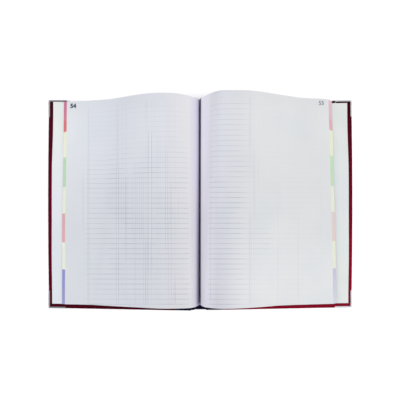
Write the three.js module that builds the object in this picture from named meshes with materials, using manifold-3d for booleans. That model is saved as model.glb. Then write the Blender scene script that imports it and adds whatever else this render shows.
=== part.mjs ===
// An open, case-bound A4 ledger book lying on its covers, in millimetres, +Z up.
// +X runs across the opening (right-hand page side), +Y runs towards the head (top edge) of the pages.
// The origin is on the resting plane, under the middle of the open book.
import * as THREE from "three";
import { mergeVertices } from "three/addons/utils/BufferGeometryUtils.js";
import Module from "manifold-3d";

const wasm = await Module();
wasm.setup();

// ---- driving dimensions ----
const OPEN_HALF_WIDTH = 224; // middle of the book to the outer edge of a cover
const COVER_HALF_HEIGHT = 154; // over the metal corners
const FRONT_SET = -0.6; // the two covers are not set quite level: shift of each towards the head
const BACK_SET = 0.3;
const TAIL_DROP = 1.3; // the tail edge of a cover runs out this much towards the spine
const HINGE_X = 9; // joint line of a cover, from the middle of the spine
const HINGE_Z = 9.5; // its height above the table
const COVER_LOW = -1.3; // lowest metal face of a cover, under the joint line
const SIN_SLOPE = (HINGE_Z + COVER_LOW) / 213.52; // covers slope down to rest on their outer corners
const SLOPE = Math.asin(SIN_SLOPE);
const COVER_END = (OPEN_HALF_WIDTH - HINGE_X + COVER_LOW * SIN_SLOPE) / Math.cos(SLOPE); // outer edge, along the cover

const GAP = 0.1; // between pieces glued or pressed together
const METAL = 0.35; // corner sheet
const CLOTH = 0.35;
const BOARD = 1.9;
const Z_CLOTH = COVER_LOW + METAL + GAP; // outer face of the cloth
const Z_BOARD = Z_CLOTH + CLOTH + GAP;
const Z_TURN_IN = Z_BOARD + BOARD + GAP; // cloth folded over the inside edge
const TURN_IN_TOP = Z_TURN_IN + 0.3;
const COVER_IN = 4.5; // inner edge of a board, along the cover from the joint line
const NAVY_END = 28; // where the spine cloth ends on the cover
const CLOTH_END = COVER_END - METAL - GAP;
const CLOTH_HALF_HEIGHT = COVER_HALF_HEIGHT - METAL - GAP;
const TURN_IN = 14;
const CORNER_LEG = 26; // metal corner, along each edge
const CORNER_FLANGE = 2; // what shows of it inside the cover
const PASTE = 0.2; // endpaper

const PAGE_HEAD = 150; // leaves: head and tail edges, and width from the fold
const PAGE_TAIL = -147;
const PAGE_WIDTH = 205;
const RIGHT_GUTTER_X = -0.45; // the fold line of each half of the leaves
const LEFT_GUTTER_X = -0.75;
const FOLD_Z = 10.6; // height of the fold they rise from
const LEFT_THICK = 3.0;
const RIGHT_THICK = 4.2;
// How the leaves bend: slope of the first strip, then each bend line as
// [distance from the fold at the head, the same at the tail, angle in degrees (minus is a crest)]
const RIGHT_START = 80.6;
const RIGHT_BENDS = [
  [5.5, 11.5, -35.3],
  [38.2, 20.8, -45.9],
  [75.7, 65.7, -9.3],
  [90.3, 114.3, -9.2],
  [167.2, 125.5, 17.0],
];
const LEFT_START = 59.5;
const LEFT_BENDS = [
  [5.3, 11.9, -30.1],
  [37.3, 21.8, -26.3],
  [63.6, 58.4, -12.3],
  [89.1, 158.9, -10.9],
  [140.7, 164.4, 17.7],
];

const LEFT_FAN = 1.95; // the leaves fan out at the fore-edge by this much of the thickness
const RIGHT_FAN = 1.65;

const SPINE_HALF = 6.5; // spine strip
const SPINE_HEAD = 150.4;
const SPINE_LOW = 4.5;

// ---- helpers ----
function solid(geometry) {
  const g = geometry.index ? geometry.toNonIndexed() : geometry.clone();
  const bare = new THREE.BufferGeometry().setAttribute("position", g.getAttribute("position"));
  const m = mergeVertices(bare, 1e-4);
  return new wasm.Manifold(
    new wasm.Mesh({
      numProp: 3,
      vertProperties: new Float32Array(m.attributes.position.array),
      triVerts: new Uint32Array(m.index.array),
    }),
  );
}

function geometryOf(s) {
  const m = s.getMesh();
  const g = new THREE.BufferGeometry();
  const v = new Float32Array(m.numVert * 3);
  for (let i = 0; i < m.numVert; i++) v.set(m.vertProperties.subarray(i * m.numProp, i * m.numProp + 3), i * 3);
  g.setAttribute("position", new THREE.BufferAttribute(v, 3));
  g.setIndex(new THREE.BufferAttribute(new Uint32Array(m.triVerts), 1));
  const flat = g.toNonIndexed();
  flat.computeVertexNormals();
  return flat;
}

function box(x0, x1, y0, y1, z0, z1) {
  const g = new THREE.BoxGeometry(x1 - x0, y1 - y0, z1 - z0);
  g.translate((x0 + x1) / 2, (y0 + y1) / 2, (z0 + z1) / 2);
  return g;
}

// a flat outline, given anticlockwise, between two heights
function slab(outline, z0, z1) {
  const shape = new THREE.Shape(outline.map(([x, y]) => new THREE.Vector2(x, y)));
  const g = new THREE.ExtrudeGeometry(shape, { depth: z1 - z0, bevelEnabled: false });
  g.translate(0, 0, z0);
  return g;
}

const material = (color, roughness, metalness = 0) => new THREE.MeshStandardMaterial({ color, roughness, metalness });
const MAROON = material(0x5e0f26, 0.75);
const NAVY = material(0x10142c, 0.75);
const GREY_BOARD = material(0x8d8578, 0.9);
const NICKEL = material(0xc9c9cc, 0.22, 1);
const ENDPAPER = material(0xeeeeea, 0.8);
const LEAVES = material(0xe4e5ea, 0.85);
const MULL = material(0xd9d2bd, 0.95);
const BAND = material(0x39406a, 0.8);
const THREAD = material(0xe9e4d4, 0.8);

const book = new THREE.Group();
function add(parent, name, geometry, mat) {
  const mesh = new THREE.Mesh(geometry, mat);
  mesh.name = name;
  parent.add(mesh);
  return mesh;
}

// a slab from y1 down to a tail edge that runs from y0 - drop at the inner end to y0 at the outer end of the cover
function trapezoid(x0, x1, y0, y1, z0, z1) {
  const tail = (x) => y0 - TAIL_DROP * Math.min(1, Math.max(0, 1 - x / (COVER_END - CORNER_LEG)));
  const knee = COVER_END - CORNER_LEG;
  const low = x0 < knee && x1 > knee ? [[x0, tail(x0)], [knee, y0], [x1, y0]] : [[x0, tail(x0)], [x1, tail(x1)]];
  return slab([...low, [x1, y1], [x0, y1]], z0, z1);
}

// ---- the two covers, in a frame that starts at the joint line and runs out along the board ----
function cover(side, prefix, flyleafEnd) {
  const group = new THREE.Group();
  group.position.set(side * HINGE_X, side < 0 ? FRONT_SET : BACK_SET, HINGE_Z);
  group.rotation.y = side * SLOPE;
  book.add(group);
  const put = (name, s, mat) => {
    // the left cover is the right one mirrored
    const made = side < 0 ? s.mirror([1, 0, 0]) : s;
    add(group, prefix + "_" + name, geometryOf(made), mat);
  };
  const H = CLOTH_HALF_HEIGHT;
  const inner = H - CLOTH - GAP;

  put("board", solid(trapezoid(COVER_IN, CLOTH_END - CLOTH - GAP, -inner, inner, Z_BOARD, Z_BOARD + BOARD)), GREY_BOARD);

  // cloth: outside sheet, edges and turned-in margins, as one wrap
  const wrap = (x0, x1, closedEnd) =>
    solid(trapezoid(x0, x1, -H, H, Z_CLOTH, TURN_IN_TOP))
      .subtract(
        solid(
          trapezoid(x0 - 1, closedEnd ? x1 - CLOTH : x1 + 1, -inner - GAP, inner + GAP, Z_CLOTH + CLOTH, Z_TURN_IN),
        ),
      )
      .subtract(
        solid(box(x0 - 1, closedEnd ? x1 - TURN_IN : x1 + 1, -H + TURN_IN, H - TURN_IN, Z_TURN_IN - 0.5, TURN_IN_TOP + 1)),
      );
  put("cover_cloth", wrap(NAVY_END, CLOTH_END, true), MAROON);
  put("spine_cloth_flap", wrap(COVER_IN - 0.4, NAVY_END - 0.15, false), NAVY);

  put(
    "pastedown",
    solid(box(COVER_IN + 0.6, COVER_END - 6.4, PAGE_TAIL + 0.2, PAGE_HEAD - 0.2, TURN_IN_TOP + GAP, TURN_IN_TOP + GAP + PASTE)),
    ENDPAPER,
  );
  put(
    "flyleaf",
    solid(box(COVER_IN + 0.6, flyleafEnd, PAGE_TAIL, PAGE_HEAD, TURN_IN_TOP + 2 * GAP + PASTE, TURN_IN_TOP + 2 * GAP + PASTE + 0.12)),
    ENDPAPER,
  );

  // sheet-metal corners: a three-cornered plate outside, a rim round the edge, a narrow flange inside
  for (const [name, end] of [
    ["head_corner", 1],
    ["tail_corner", -1],
  ]) {
    const X = COVER_END;
    const Y = COVER_HALF_HEIGHT;
    const top = TURN_IN_TOP + GAP + METAL;
    const plate = solid(
      slab(
        [
          [X - CORNER_LEG, Y],
          [X - CORNER_LEG, Y - 4],
          [X - 4, Y - CORNER_LEG],
          [X, Y - CORNER_LEG],
          [X, Y],
        ],
        COVER_LOW,
        COVER_LOW + METAL,
      ),
    );
    const rims = solid(box(X - METAL, X, Y - CORNER_LEG, Y, COVER_LOW, top)).add(
      solid(box(X - CORNER_LEG, X, Y - METAL, Y, COVER_LOW, top)),
    );
    const flanges = solid(
      slab(
        [
          [X - CORNER_LEG, Y],
          [X - CORNER_LEG, Y - CORNER_FLANGE],
          [X - CORNER_FLANGE - 1.5, Y - CORNER_FLANGE],
          [X - CORNER_FLANGE, Y - CORNER_FLANGE - 1.5],
          [X - CORNER_FLANGE, Y - CORNER_LEG],
          [X, Y - CORNER_LEG],
          [X, Y],
        ],
        top - METAL,
        top,
      ),
    );
    // the outer corner itself is rounded off
    const R = 0.8;
    const block = new THREE.Shape();
    block.moveTo(X + 1, Y + 1);
    block.lineTo(X + 1, Y - R);
    block.lineTo(X, Y - R);
    for (let i = 1; i <= 6; i++) {
      const a = (i / 6) * (Math.PI / 2);
      block.lineTo(X - R + R * Math.cos(a), Y - R + R * Math.sin(a));
    }
    block.lineTo(X - R, Y + 1);
    const g = new THREE.ExtrudeGeometry(block, { depth: 20, bevelEnabled: false });
    g.translate(0, 0, -10);
    const cutter = solid(g);
    let s = plate.add(rims).add(flanges);
    s = s.subtract(cutter);
    if (end < 0) s = s.mirror([0, 1, 0]);
    put(name, s, NICKEL);
  }
}
cover(1, "back", 191);
cover(-1, "front", 194);

// ---- spine strip, its cloth, and the sewn back of the leaves ----
{
  const g = new THREE.Group();
  book.add(g);
  const z = SPINE_LOW;
  const zi = z + CLOTH + GAP;
  const zt = zi + BOARD + GAP;
  const outerHead = SPINE_HEAD;
  const outerTail = -CLOTH_HALF_HEIGHT - TAIL_DROP;
  const half = SPINE_HALF + CLOTH + GAP;
  add(
    g,
    "spine_strip",
    geometryOf(solid(box(-SPINE_HALF, SPINE_HALF, outerTail + CLOTH + GAP, outerHead - CLOTH - GAP, zi, zi + BOARD))),
    GREY_BOARD,
  );
  const cloth = solid(box(-half, half, outerTail, outerHead, z, zt + 0.3))
    .subtract(solid(box(-SPINE_HALF - GAP, SPINE_HALF + GAP, outerTail + CLOTH, outerHead - CLOTH, z + CLOTH, zt)))
    .subtract(solid(box(-half - 1, half + 1, outerTail + TURN_IN, outerHead - TURN_IN, z + CLOTH + 0.6, zt + 2)));
  add(g, "spine_cloth", geometryOf(cloth), NAVY);
  add(g, "spine_mull", geometryOf(solid(box(-5.2, 4.6, PAGE_TAIL + 8, PAGE_HEAD - 8, 8.2, 8.45))), MULL);
  add(g, "section_folds", geometryOf(solid(box(-4.1, 3.9, PAGE_TAIL, PAGE_HEAD, 8.6, 9.15))), LEAVES);
  // five sewing stitches lie along the folds; the thread between them is one piece
  let thread = solid(box(-0.35, 0.35, -128, 128, 9.25, 9.4));
  for (let i = 0; i < 6; i++) {
    const y = -125 + i * 50;
    thread = thread.add(solid(box(-3.4, 3.2, y - 0.5, y + 0.5, 9.25, 9.4)));
  }
  add(g, "sewing_thread", geometryOf(thread), THREAD);
  const band = (name, y0, y1) => {
    // a worked bead at the ends of the leaves, on a tape glued under the folds
    const b = new THREE.CylinderGeometry(0.48, 0.48, 7.6, 12);
    b.rotateZ(Math.PI / 2);
    b.translate(-0.1, y1 > 0 ? y1 - 0.5 : y0 + 0.5, 7.95);
    const tape = box(-3.9, 3.7, y1 > 0 ? y0 : y0 + 0.4, y1 > 0 ? y1 - 0.4 : y1, 7.8, 8.1);
    add(g, name, geometryOf(solid(b).add(solid(tape))), BAND);
  };
  band("head_band", PAGE_HEAD - 6.5, PAGE_HEAD + 0.3);
  band("tail_band", PAGE_TAIL - 0.3, PAGE_TAIL + 6.5);
}

// ---- the leaves of each half, as flat strips of the whole stack joined at bend lines ----
function leaves(side, prefix, gutterX, thick, fan, start, bends) {
  const lines = [[0, 0, 0], ...bends, [PAGE_WIDTH, PAGE_WIDTH, 0]];
  let frame = new THREE.Matrix4()
    .makeTranslation(side * gutterX, 0, FOLD_Z)
    .multiply(new THREE.Matrix4().makeRotationAxis(new THREE.Vector3(0, -1, 0), (start * Math.PI) / 180));
  const at = (line, y, shift) => {
    // a point on a bend line at height y, moved across it by shift
    const [h, t] = line;
    const along = new THREE.Vector2(h - t, PAGE_HEAD - PAGE_TAIL).normalize();
    const k = (y - PAGE_TAIL) / (PAGE_HEAD - PAGE_TAIL);
    return [t + (h - t) * k + shift / along.y, y];
  };
  for (let i = 0; i < lines.length - 1; i++) {
    if (i > 0) {
      const [h, t, angle] = lines[i];
      const axis = new THREE.Vector3(-(h - t), -(PAGE_HEAD - PAGE_TAIL), 0).normalize();
      const turn = new THREE.Matrix4()
        .makeTranslation(t, PAGE_TAIL, 0)
        .multiply(new THREE.Matrix4().makeRotationAxis(axis, (angle * Math.PI) / 180))
        .multiply(new THREE.Matrix4().makeTranslation(-t, -PAGE_TAIL, 0));
      frame = frame.clone().multiply(turn);
    }
    const mitre = (line) => (line[2] < 0 ? thick * Math.tan((-line[2] * Math.PI) / 360) : 0);
    const first = i === 0 ? 0.3 : 0.16;
    const last = i === lines.length - 2 ? 0 : -0.16;
    const top = [
      [...at(lines[i], PAGE_TAIL, first), 0],
      [...at(lines[i + 1], PAGE_TAIL, last), 0],
      [...at(lines[i + 1], PAGE_HEAD, last), 0],
      [...at(lines[i], PAGE_HEAD, first), 0],
    ];
    const a = first + (i === 0 ? 0 : mitre(lines[i]));
    // the leaves fan back at the fore-edge, so its edge slopes
    const b = i === lines.length - 2 ? thick * fan : last - mitre(lines[i + 1]);
    const low = [
      [...at(lines[i], PAGE_TAIL, a), -thick],
      [...at(lines[i + 1], PAGE_TAIL, b), -thick],
      [...at(lines[i + 1], PAGE_HEAD, b), -thick],
      [...at(lines[i], PAGE_HEAD, a), -thick],
    ];
    const v = [...low, ...top].map((p) => new THREE.Vector3(...p).applyMatrix4(frame));
    if (side < 0) v.forEach((p) => (p.x = -p.x));
    const quads = [
      [3, 2, 1, 0],
      [4, 5, 6, 7],
      [0, 1, 5, 4],
      [1, 2, 6, 5],
      [2, 3, 7, 6],
      [3, 0, 4, 7],
    ];
    const pos = [];
    for (const q of quads)
      for (const [j, k, l] of [
        [0, 1, 2],
        [0, 2, 3],
      ]) {
        const tri = side < 0 ? [q[j], q[l], q[k]] : [q[j], q[k], q[l]];
        for (const n of tri) pos.push(v[n].x, v[n].y, v[n].z);
      }
    const g = new THREE.BufferGeometry().setAttribute("position", new THREE.Float32BufferAttribute(pos, 3));
    g.computeVertexNormals();
    add(book, prefix + "_leaves_" + (i + 1), g, LEAVES);
  }
}
leaves(1, "right", RIGHT_GUTTER_X, RIGHT_THICK, RIGHT_FAN, RIGHT_START, RIGHT_BENDS);
leaves(-1, "left", LEFT_GUTTER_X, LEFT_THICK, LEFT_FAN, LEFT_START, LEFT_BENDS);

export default book;
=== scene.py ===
import math

import bmesh
import bpy
import numpy as np
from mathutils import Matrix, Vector


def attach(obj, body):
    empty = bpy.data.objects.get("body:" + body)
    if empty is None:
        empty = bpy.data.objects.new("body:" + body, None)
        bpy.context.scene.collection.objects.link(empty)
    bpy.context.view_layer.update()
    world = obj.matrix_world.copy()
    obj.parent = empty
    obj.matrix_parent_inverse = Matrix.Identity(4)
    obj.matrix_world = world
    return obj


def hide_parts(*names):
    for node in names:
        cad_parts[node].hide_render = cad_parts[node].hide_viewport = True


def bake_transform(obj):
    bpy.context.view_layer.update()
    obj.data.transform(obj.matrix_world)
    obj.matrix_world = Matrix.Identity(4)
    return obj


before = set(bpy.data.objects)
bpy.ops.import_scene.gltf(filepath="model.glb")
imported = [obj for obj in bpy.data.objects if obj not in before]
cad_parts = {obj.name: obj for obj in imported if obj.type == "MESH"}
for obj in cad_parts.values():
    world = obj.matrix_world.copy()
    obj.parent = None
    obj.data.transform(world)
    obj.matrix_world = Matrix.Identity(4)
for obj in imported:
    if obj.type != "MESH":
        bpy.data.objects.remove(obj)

scene = bpy.context.scene
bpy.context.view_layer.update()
rng = np.random.default_rng(11)
MM = 0.001

# ---- sizes of the book, in millimetres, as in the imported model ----
HINGE_X, HINGE_Z = 9.0, 9.5
COVER_LOW = -1.3
SLOPE = math.asin((HINGE_Z + COVER_LOW) / 213.52)
CS, SN = math.cos(SLOPE), math.sin(SLOPE)
COVER_END = (224.0 - HINGE_X + COVER_LOW * SN) / CS
COVER_HALF_HEIGHT, TAIL_DROP = 154.0, 1.3
COVER_SET = {-1: -0.6, 1: 0.3}  # the covers are not set quite level with each other
PAGE_HEAD, PAGE_TAIL, PAGE_WIDTH = 150.0, -147.0, 205.0
FOLD_Z = 10.6
STACKS = {
    1: dict(pre="right", gx=-0.45, thick=4.2, fan=1.65, start=80.6,
            bends=[(5.5, 11.5, -35.3), (38.2, 20.8, -45.9), (75.7, 65.7, -9.3), (90.3, 114.3, -9.2), (167.2, 125.5, 17.0)]),
    -1: dict(pre="left", gx=-0.75, thick=3.0, fan=1.95, start=59.5,
             bends=[(5.3, 11.9, -30.1), (37.3, 21.8, -26.3), (63.6, 58.4, -12.3), (89.1, 158.9, -10.9), (140.7, 164.4, 17.7)]),
}


# ------------------------------------------------------------------ mesh helpers
def new_object(name, verts, faces, uvs=None, normals=None, mats=(), face_mat=None, smooth=True):
    """verts in mm; uvs and normals per vertex; face_mat one index per face."""
    me = bpy.data.meshes.new(name)
    me.from_pydata([tuple(float(c) * MM for c in v) for v in verts], [], [tuple(int(i) for i in f) for f in faces])
    me.update()
    for m in mats:
        me.materials.append(m)
    if face_mat is not None:
        me.polygons.foreach_set("material_index", np.array(face_mat, np.int32))
    if uvs is not None:
        layer = me.uv_layers.new(name="UVMap")
        idx = np.zeros(len(me.loops), np.int32)
        me.loops.foreach_get("vertex_index", idx)
        layer.data.foreach_set("uv", np.array(uvs, np.float32)[idx].ravel())
    me.polygons.foreach_set("use_smooth", [smooth] * len(me.polygons))
    if normals is not None:
        me.normals_split_custom_set_from_vertices([tuple(map(float, n)) for n in normals])
    me.update()
    ob = bpy.data.objects.new(name, me)
    scene.collection.objects.link(ob)
    return ob


def shade_by_angle(ob, degrees=35):
    """smooth faces with hard edges where the faces meet at more than the angle"""
    me = ob.data
    bm = bmesh.new()
    bm.from_mesh(me)
    for f in bm.faces:
        f.smooth = True
    for e in bm.edges:
        e.smooth = not (len(e.link_faces) == 2 and e.calc_face_angle(0) > math.radians(degrees))
    bm.to_mesh(me)
    bm.free()
    me.update()


class Build:
    """collects several surfaces into one mesh"""

    def __init__(self):
        self.v, self.f, self.uv, self.n, self.m = [], [], [], [], []

    def grid(self, P, N, UV, mat, flip=False):
        """P, N: rows x cols x 3, UV rows x cols x 2"""
        r, c = P.shape[:2]
        # the side that the normals point to is the outside
        facing = np.cross(P[1:, 1:] - P[:-1, :-1], P[1:, :-1] - P[:-1, 1:])
        flip = float((facing * N[:-1, :-1]).sum()) < 0
        base = len(self.v)
        self.v += list(P.reshape(-1, 3))
        self.n += list(N.reshape(-1, 3))
        self.uv += list(UV.reshape(-1, 2))
        for i in range(r - 1):
            for j in range(c - 1):
                a = base + i * c + j
                q = (a, a + 1, a + c + 1, a + c)
                self.f.append(q[::-1] if flip else q)
                self.m.append(mat)

    def make(self, name, mats):
        return new_object(name, self.v, self.f, self.uv, self.n, mats, self.m)


def slab_to_world(p, side):
    """from the frame of a cover (out along the board, y, normal to the inside) to the frame of the book"""
    p = np.asarray(p, float)
    x = HINGE_X + p[..., 0] * CS + p[..., 2] * SN
    z = HINGE_Z - p[..., 0] * SN + p[..., 2] * CS
    return np.stack([side * x, p[..., 1] + COVER_SET[side], z], -1)


# ------------------------------------------------------------------ node helpers
def material(name, base=(0.8, 0.8, 0.8), rough=0.6, metallic=0.0):
    m = bpy.data.materials.new(name)
    m.use_nodes = True
    nt = m.node_tree
    nt.nodes.clear()
    out = nt.nodes.new("ShaderNodeOutputMaterial")
    bsdf = nt.nodes.new("ShaderNodeBsdfPrincipled")
    nt.links.new(bsdf.outputs["BSDF"], out.inputs["Surface"])
    bsdf.inputs["Base Color"].default_value = (*base, 1)
    bsdf.inputs["Roughness"].default_value = rough
    bsdf.inputs["Metallic"].default_value = metallic
    return m, nt, bsdf


def srgb(r, g, b):
    def f(c):
        c /= 255.0
        return c / 12.92 if c <= 0.04045 else ((c + 0.055) / 1.055) ** 2.4
    return (f(r), f(g), f(b))


class Nodes:
    def __init__(self, nt):
        self.nt = nt

    def put(self, socket, v):
        if isinstance(v, bpy.types.NodeSocket):
            self.nt.links.new(v, socket)
        elif isinstance(v, (tuple, list)):
            socket.default_value = (*v, 1) if len(v) == 3 and len(socket.default_value) == 4 else v
        else:
            socket.default_value = v

    def math(self, op, a, b=0.0, c=0.0, clamp=False):
        n = self.nt.nodes.new("ShaderNodeMath")
        n.operation = op
        n.use_clamp = clamp
        self.put(n.inputs[0], a)
        self.put(n.inputs[1], b)
        self.put(n.inputs[2], c)
        return n.outputs[0]

    def mix(self, fac, a, b, mode="MIX"):
        n = self.nt.nodes.new("ShaderNodeMix")
        n.data_type = "RGBA"
        n.blend_type = mode
        self.put(n.inputs[0], fac)
        self.put(n.inputs[6], a)
        self.put(n.inputs[7], b)
        return n.outputs[2]

    def ramp(self, fac, stops, mode="LINEAR"):
        n = self.nt.nodes.new("ShaderNodeValToRGB")
        n.color_ramp.interpolation = mode
        el = n.color_ramp.elements
        while len(el) > 1:
            el.remove(el[-1])
        for i, (p, c) in enumerate(stops):
            e = el[0] if i == 0 else el.new(p)
            e.position = p
            e.color = (*c, 1)
        self.put(n.inputs[0], fac)
        return n.outputs[0]

    def range(self, v, a, b, c=0.0, d=1.0, kind="LINEAR"):
        n = self.nt.nodes.new("ShaderNodeMapRange")
        n.interpolation_type = kind
        for i, x in enumerate((v, a, b, c, d)):
            self.put(n.inputs[i], x)
        return n.outputs[0]

    def noise(self, vec, scale, detail=2.0, rough=0.5):
        n = self.nt.nodes.new("ShaderNodeTexNoise")
        self.put(n.inputs["Vector"], vec)
        n.inputs["Scale"].default_value = scale
        n.inputs["Detail"].default_value = detail
        n.inputs["Roughness"].default_value = rough
        return n.outputs["Fac"]

    def scale(self, vec, xyz):
        n = self.nt.nodes.new("ShaderNodeVectorMath")
        n.operation = "MULTIPLY"
        self.put(n.inputs[0], vec)
        n.inputs[1].default_value = xyz
        return n.outputs[0]

    def xyz(self, vec):
        n = self.nt.nodes.new("ShaderNodeSeparateXYZ")
        self.put(n.inputs[0], vec)
        return n.outputs[0], n.outputs[1], n.outputs[2]

    def coord(self, kind="Object"):
        return self.nt.nodes.new("ShaderNodeTexCoord").outputs[kind]

    def bump(self, height, strength, distance, bsdf, normal=None):
        n = self.nt.nodes.new("ShaderNodeBump")
        n.inputs["Strength"].default_value = strength
        n.inputs["Distance"].default_value = distance
        self.put(n.inputs["Height"], height)
        if normal is not None:
            self.put(n.inputs["Normal"], normal)
        if bsdf is not None:
            self.nt.links.new(n.outputs[0], bsdf.inputs["Normal"])
        return n.outputs[0]


# ------------------------------------------------------------------ materials
PAGE_TONE = 0.722


def tone(rgb, k=1.0):
    return tuple(c * k for c in rgb)


# columns of the ruling: distance from the fold, line width, strength, and from where to where up the page, in mm
LEFT_COLUMNS = [
    (178.9, 0.90, 0.26, 36, -32), (171.6, 0.30, 0.75, 70, -150), (169.9, 0.30, 0.60, 70, -150), (170.8, 0.40, 0.30, 136, 70),
    (124.1, 0.38, 0.85, 44, -140), (120.6, 0.38, 0.85, 44, -140), (122.4, 0.5, 0.30, 140, 44), (116.0, 0.28, 0.45, 36, -32), (113.6, 0.28, 0.40, 36, -32),
    (110.7, 0.32, 0.68, 30, -76), (109.0, 0.32, 0.55, 30, -76),
    (101.0, 0.28, 0.50, 50, -50), (97.7, 0.30, 0.62, 52, -150), (94.6, 0.28, 0.50, 40, -40), (91.4, 0.28, 0.50, 40, -50),
    (88.2, 0.28, 0.50, 40, -50), (85.5, 0.30, 0.50, 36, -150),
    (82.4, 0.34, 0.62, 142, 112), (80.3, 0.34, 0.62, 142, 112), (82.4, 0.36, 0.80, -54, -150), (80.3, 0.36, 0.80, -54, -150),
    (78.4, 0.36, 0.80, 94, -98), (73.7, 0.36, 0.80, 94, -98), (75.9, 0.28, 0.45, -60, -100), (70.3, 0.30, 0.40, 142, 96),
    (66.2, 0.30, 0.35, 100, -150), (62.0, 0.28, 0.30, 100, -150),
    (54.1, 0.34, 0.65, 70, -58), (51.7, 0.34, 0.60, 70, -58), (49.4, 0.34, 0.75, -28, -150), (46.5, 0.36, 0.78, 24, -150),
    (42.5, 0.34, 0.65, -106, -150), (40.3, 0.34, 0.65, -106, -150), (36.6, 0.28, 0.40, 20, -20),
]
RIGHT_COLUMNS = [
    (27.6, 0.50, 0.42, 76, -130), (81.6, 0.32, 0.70, 142, 78), (83.5, 0.32, 0.65, 142, 78), (81.6, 0.32, 0.70, -16, -142), (83.5, 0.32, 0.65, -16, -142),
    (87.6, 0.32, 0.70, 64, -18), (89.4, 0.32, 0.65, 64, -18), (94.6, 0.30, 0.45, 56, 18), (125.4, 0.32, 0.42, 0, -142),
    (157.3, 0.30, 0.32, -16, -142), (191.6, 0.28, 0.28, 14, -14),
]
# the paper shows up bright between close pairs of lines: distance from the fold, width, strength, from, to
LEFT_GAPS = [(170.75, 0.9, 0.35, 70, -150), (122.35, 1.5, 0.60, 44, -140), (114.8, 1.2, 0.3, 36, -32), (76.1, 1.6, 0.36, 94, -98), (81.35, 1.0, 0.55, -54, -150),
             (52.9, 1.0, 0.35, 70, -58), (47.95, 1.2, 0.55, -28, -150), (99.3, 1.2, 0.3, 40, -40), (93.0, 1.2, 0.3, 40, -40)]
RIGHT_GAPS = [(82.55, 0.9, 0.55, 142, 78), (82.55, 0.9, 0.55, -16, -142), (88.5, 0.9, 0.55, 64, -18), (126.6, 0.7, 0.3, 0, -142)]
BANDS_L = [(150.0, (196, 78, 130)), (134.0, (205, 96, 138)), (122.0, (212, 106, 128)), (118.0, (214, 80, 88)), (105.0, (216, 88, 92)),
           (103.4, (233, 236, 206)), (67.4, (232, 236, 208)), (66.4, (178, 216, 174)), (24.2, (178, 209, 171)),
           (23.2, (226, 232, 208)), (-14.4, (226, 232, 208)), (-15.4, (213, 156, 161)), (-56.6, (221, 157, 166)),
           (-57.6, (226, 231, 210)), (-96.0, (226, 231, 212)), (-97.0, (130, 130, 195)), (-150.0, (142, 140, 198))]
BANDS_R = [(150.0, (228, 190, 205)), (122.0, (225, 184, 200)), (118.0, (226, 172, 180)), (104.5, (226, 174, 180)),
           (103.4, (234, 238, 208)), (67.4, (234, 238, 210)), (66.4, (196, 227, 190)), (23.2, (193, 223, 186)),
           (22.2, (232, 236, 212)), (-14.4, (232, 236, 214)), (-15.4, (225, 208, 203)), (-56.6, (228, 206, 203)),
           (-57.6, (232, 236, 214)), (-96.0, (232, 236, 216)), (-97.0, (196, 196, 219)), (-150.0, (214, 214, 228))]


# tone of the paper across the page, with painted shade in it: a dark painted gutter shadow next to the fold, painted
# light where gains lift the paper near the gutter, and painted shading across the rest of the page; distance from the
# fold in mm, colour, gain
PAGE_TONES_AND_SHADE = {
    -1: [(0.0, (56, 42, 82), 1), (1.2, (68, 54, 96), 1), (3.0, (206, 196, 224), 1.25), (5.0, (202, 196, 222), 1.2), (8.5, (214, 210, 227), 1.10), (11.0, (217, 214, 227), 1.13),
         (15.0, (222, 219, 227), 1.10), (20.0, (232, 230, 233), 1.04), (30.0, (230, 229, 232), 1.01), (60.0, (225, 226, 233), 1), (113.0, (223, 225, 233), 1.01),
         (164.0, (226, 229, 236), 1), (205.0, (230, 233, 237), 1)],
    1: [(0.0, (56, 42, 82), 1), (5.8, (62, 50, 88), 1), (7.4, (236, 232, 244), 1.04), (9.0, (240, 236, 247), 1.10), (12.0, (238, 234, 247), 1.10), (17.0, (233, 229, 241), 1.12), (24.0, (228, 227, 236), 1.08), (36.0, (220, 220, 229), 1.01),
        (50.0, (222, 223, 229), 1), (75.0, (225, 226, 228), 1), (92.0, (226, 227, 228), 1), (205.0, (227, 228, 229), 1)],
}
# and down it, as painted shading: distance up the page in mm, brightness near the fold, brightness away from it
PAGE_SHADE_FALL = {
    -1: [(150.0, 0.98, 0.98), (125.0, 1.01, 1.04), (60.0, 0.985, 1.01), (0.0, 0.91, 0.93), (-60.0, 0.91, 0.925), (-130.0, 0.90, 0.93), (-147.0, 0.88, 0.91)],
    1: [(150.0, 0.99, 0.97), (125.0, 1.06, 1.01), (60.0, 1.0, 0.97), (0.0, 0.935, 0.95), (-60.0, 0.91, 0.985), (-120.0, 0.89, 1.03), (-147.0, 0.83, 0.98)],
}


def paper_bump(n, uv, bsdf, strength=0.12):
    fine = n.noise(n.scale(uv, (1, 1, 1)), 2600.0, 3.0, 0.6)
    cockle = n.noise(n.scale(uv, (1, 0.6, 1)), 26.0, 2.0, 0.5)
    h = n.math("ADD", n.math("MULTIPLY", fine, 0.00003), n.math("MULTIPLY", cockle, 0.0006))
    return n.bump(h, strength, 1.0, bsdf)


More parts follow.
